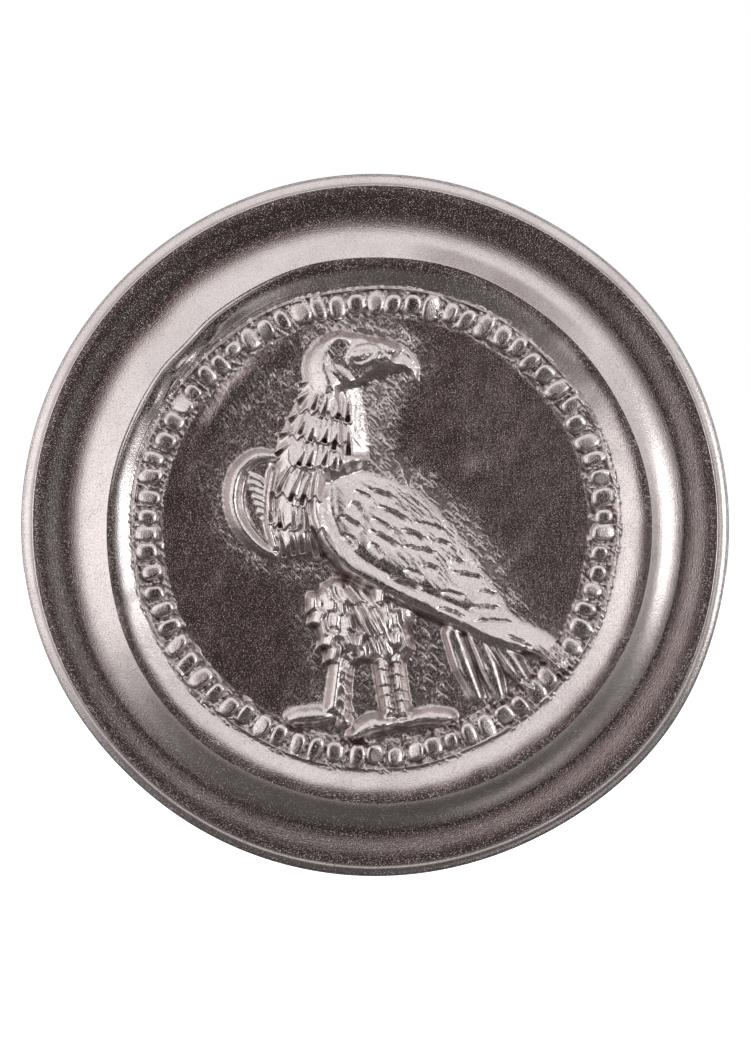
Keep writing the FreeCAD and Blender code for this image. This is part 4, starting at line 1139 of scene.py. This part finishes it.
class PhaleraFinish(PropertyGroup):
    """The colours and finishes."""
    silver: FloatVectorProperty(name="Silver", description="Colour of rubbed silvered sheet", subtype="COLOR",
                                default=(0.775, 0.712, 0.70), min=0.0, max=1.0)
    patina: FloatVectorProperty(name="Patina", description="Colour of the sheet where it has darkened",
                                subtype="COLOR", default=(0.105, 0.060, 0.055), min=0.0, max=1.0)
    silver_roughness: FloatProperty(name="Silver roughness", description="Roughness of the rubbed silver",
                                    subtype="FACTOR", default=0.13, min=0.0, max=1.0)
    hollow_patina: FloatProperty(name="Hollow patina", description="How dark the hollows are", subtype="FACTOR",
                                 default=0.75, min=0.0, max=1.0)
    field_patina: FloatProperty(name="Field patina", description="How brown the level field and the flute are",
                                subtype="FACTOR", default=0.28, min=0.0, max=1.0)
    copper: FloatVectorProperty(name="Copper", description="Colour of the plate and rivets", subtype="COLOR",
                                default=(0.70, 0.33, 0.19), min=0.0, max=1.0)
    brass: FloatVectorProperty(name="Brass", description="Colour of the strap loops", subtype="COLOR",
                               default=(0.66, 0.47, 0.22), min=0.0, max=1.0)
    tarnish: FloatVectorProperty(name="Tarnish", description="Colour of aged copper and brass", subtype="COLOR",
                                 default=(0.12, 0.065, 0.04), min=0.0, max=1.0)
    pitch: FloatVectorProperty(name="Pitch", description="Colour of the pitch", subtype="COLOR",
                               default=(0.012, 0.009, 0.007), min=0.0, max=1.0)


class PhaleraStage(PropertyGroup):
    """The camera, the floor and the light."""
    lens: FloatProperty(name="Lens", description="The camera's focal length", default=200.0, min=20.0, unit="CAMERA")
    in_view: FloatProperty(name="In view", description="The height in view over the disc's own", default=1.48944,
                           min=1.0, precision=5)
    framed_height: FloatProperty(name="Framed height", description="Height above the hem where that is measured",
                                 default=0.0012, unit="LENGTH")
    floor: FloatVectorProperty(name="Floor", description="Colour of the floor", subtype="COLOR",
                               default=(0.9, 0.9, 0.9), min=0.0, max=1.0)
    floor_glow: FloatProperty(name="Floor glow", description="Light the floor gives off", default=0.75, min=0.0)
    floor_reach: FloatProperty(name="Floor reach", description="Half the floor's width", default=4.0, unit="LENGTH")
    floor_gap: FloatProperty(name="Floor gap", description="Gap between the rim and the floor", default=0.0003,
                             unit="LENGTH")
    dark_angle: FloatProperty(name="Dark angle", description="Angle off the axis where the light begins",
                              default=math.radians(18.0), subtype="ANGLE")
    light_angle: FloatProperty(name="Light angle", description="Angle off the axis where the light is full",
                               default=math.radians(35.0), subtype="ANGLE")
    camera_side: FloatVectorProperty(name="Camera side", description="Light from about the camera", subtype="COLOR",
                                     default=(0.031, 0.020, 0.0196), min=0.0, max=1.0)
    soft_box: FloatProperty(name="Soft box", description="Brightness of the soft box", default=3.0, min=0.0)


class Plain:
    """A property group's numbers as plain values, with its lengths in millimetres."""

    def __init__(self, group):
        for key, prop in group.bl_rna.properties.items():
            if key not in ("rna_type", "name"):
                value = getattr(group, key)
                setattr(self, key, value / MM if getattr(prop, "unit", "NONE") == "LENGTH" else value)


# ---- Operators ------------------------------------------------------------------------------------------------

class PHALERA_OT_face(Operator):
    """Make the embossed face: its middle, the field round it, the beaded border and the rim, all one sheet"""
    bl_idname = "phalera.face"
    bl_label = "Embossed face"

    def execute(self, context):
        sizes = Plain(context.scene.phalera_sizes)
        silver = silver_material(context.scene.phalera_finish)
        relief = make_relief(sizes)
        make_middle("face_middle", sizes.middle_radius, relief, sizes, silver)
        make_ring("face_field", sizes.middle_radius, sizes.border_radius, sizes.field_steps, relief, sizes, silver)
        make_ring("face_border", sizes.border_radius, crease_radius, sizes.border_steps, relief, sizes, silver)
        make_rim("face_rim", sizes, silver, ["embossed_face"])
        return {"FINISHED"}


class PHALERA_OT_pitch(Operator):
    """Make the cake of pitch that fills the sheet from behind"""
    bl_idname = "phalera.pitch"
    bl_label = "Pitch"

    def execute(self, context):
        sizes = Plain(context.scene.phalera_sizes)
        make_pitch("pitch_cake", sizes, pitch_material(context.scene.phalera_finish), ["filler_core"])
        return {"FINISHED"}


class PHALERA_OT_back(Operator):
    """Finish the back plate, the strap loops and their rivets"""
    bl_idname = "phalera.back"
    bl_label = "Back plate and fittings"

    def execute(self, context):
        finish = context.scene.phalera_finish
        plate = copper_material("aged_copper", finish, tuple(finish.copper), 1.0)
        brass = copper_material("aged_brass", finish, tuple(finish.brass), 0.25)
        rivets = copper_material("rivet_copper", finish, tuple(finish.copper), 0.4)
        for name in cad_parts:
            if name.startswith("strap_loop"):
                paint_node(name, brass)
            elif name.startswith(("rivet", "rove")):
                paint_node(name, rivets)
            elif name == "back_plate":
                paint_node(name, plate)
        return {"FINISHED"}


class PHALERA_OT_stage(Operator):
    """Make the floor, the light and the camera"""
    bl_idname = "phalera.stage"
    bl_label = "Studio"

    def execute(self, context):
        stage = context.scene.phalera_stage
        make_floor(stage)
        make_world(stage)
        make_camera(stage)
        return {"FINISHED"}


class PHALERA_PT_panel(Panel):
    """The sidebar's list of what can be made"""
    bl_idname = "PHALERA_PT_panel"
    bl_label = "Phalera"
    bl_space_type = "VIEW_3D"
    bl_region_type = "UI"
    bl_category = "Phalera"

    def draw(self, context):
        for operator in OPERATORS:
            self.layout.operator(operator.bl_idname)
        for group in (context.scene.phalera_sizes, context.scene.phalera_finish, context.scene.phalera_stage):
            box = self.layout.box()
            for key in group.bl_rna.properties.keys():
                if key not in ("rna_type", "name"):
                    box.prop(group, key)


OPERATORS = (PHALERA_OT_face, PHALERA_OT_pitch, PHALERA_OT_back, PHALERA_OT_stage)
GROUPS = (("phalera_sizes", PhaleraSizes), ("phalera_finish", PhaleraFinish), ("phalera_stage", PhaleraStage))


def register():
    for name, group in GROUPS:
        bpy.utils.register_class(group)
        setattr(bpy.types.Scene, name, PointerProperty(type=group))
    for cls in (*OPERATORS, PHALERA_PT_panel):
        bpy.utils.register_class(cls)


def unregister():
    for cls in (PHALERA_PT_panel, *reversed(OPERATORS)):
        bpy.utils.unregister_class(cls)
    for name, group in reversed(GROUPS):
        delattr(bpy.types.Scene, name)
        bpy.utils.unregister_class(group)


def main():
    """Makes the pieces and the studio."""
    register()
    bpy.ops.phalera.face()
    bpy.ops.phalera.pitch()
    bpy.ops.phalera.back()
    bpy.ops.phalera.stage()


if __name__ == "__main__":
    main()
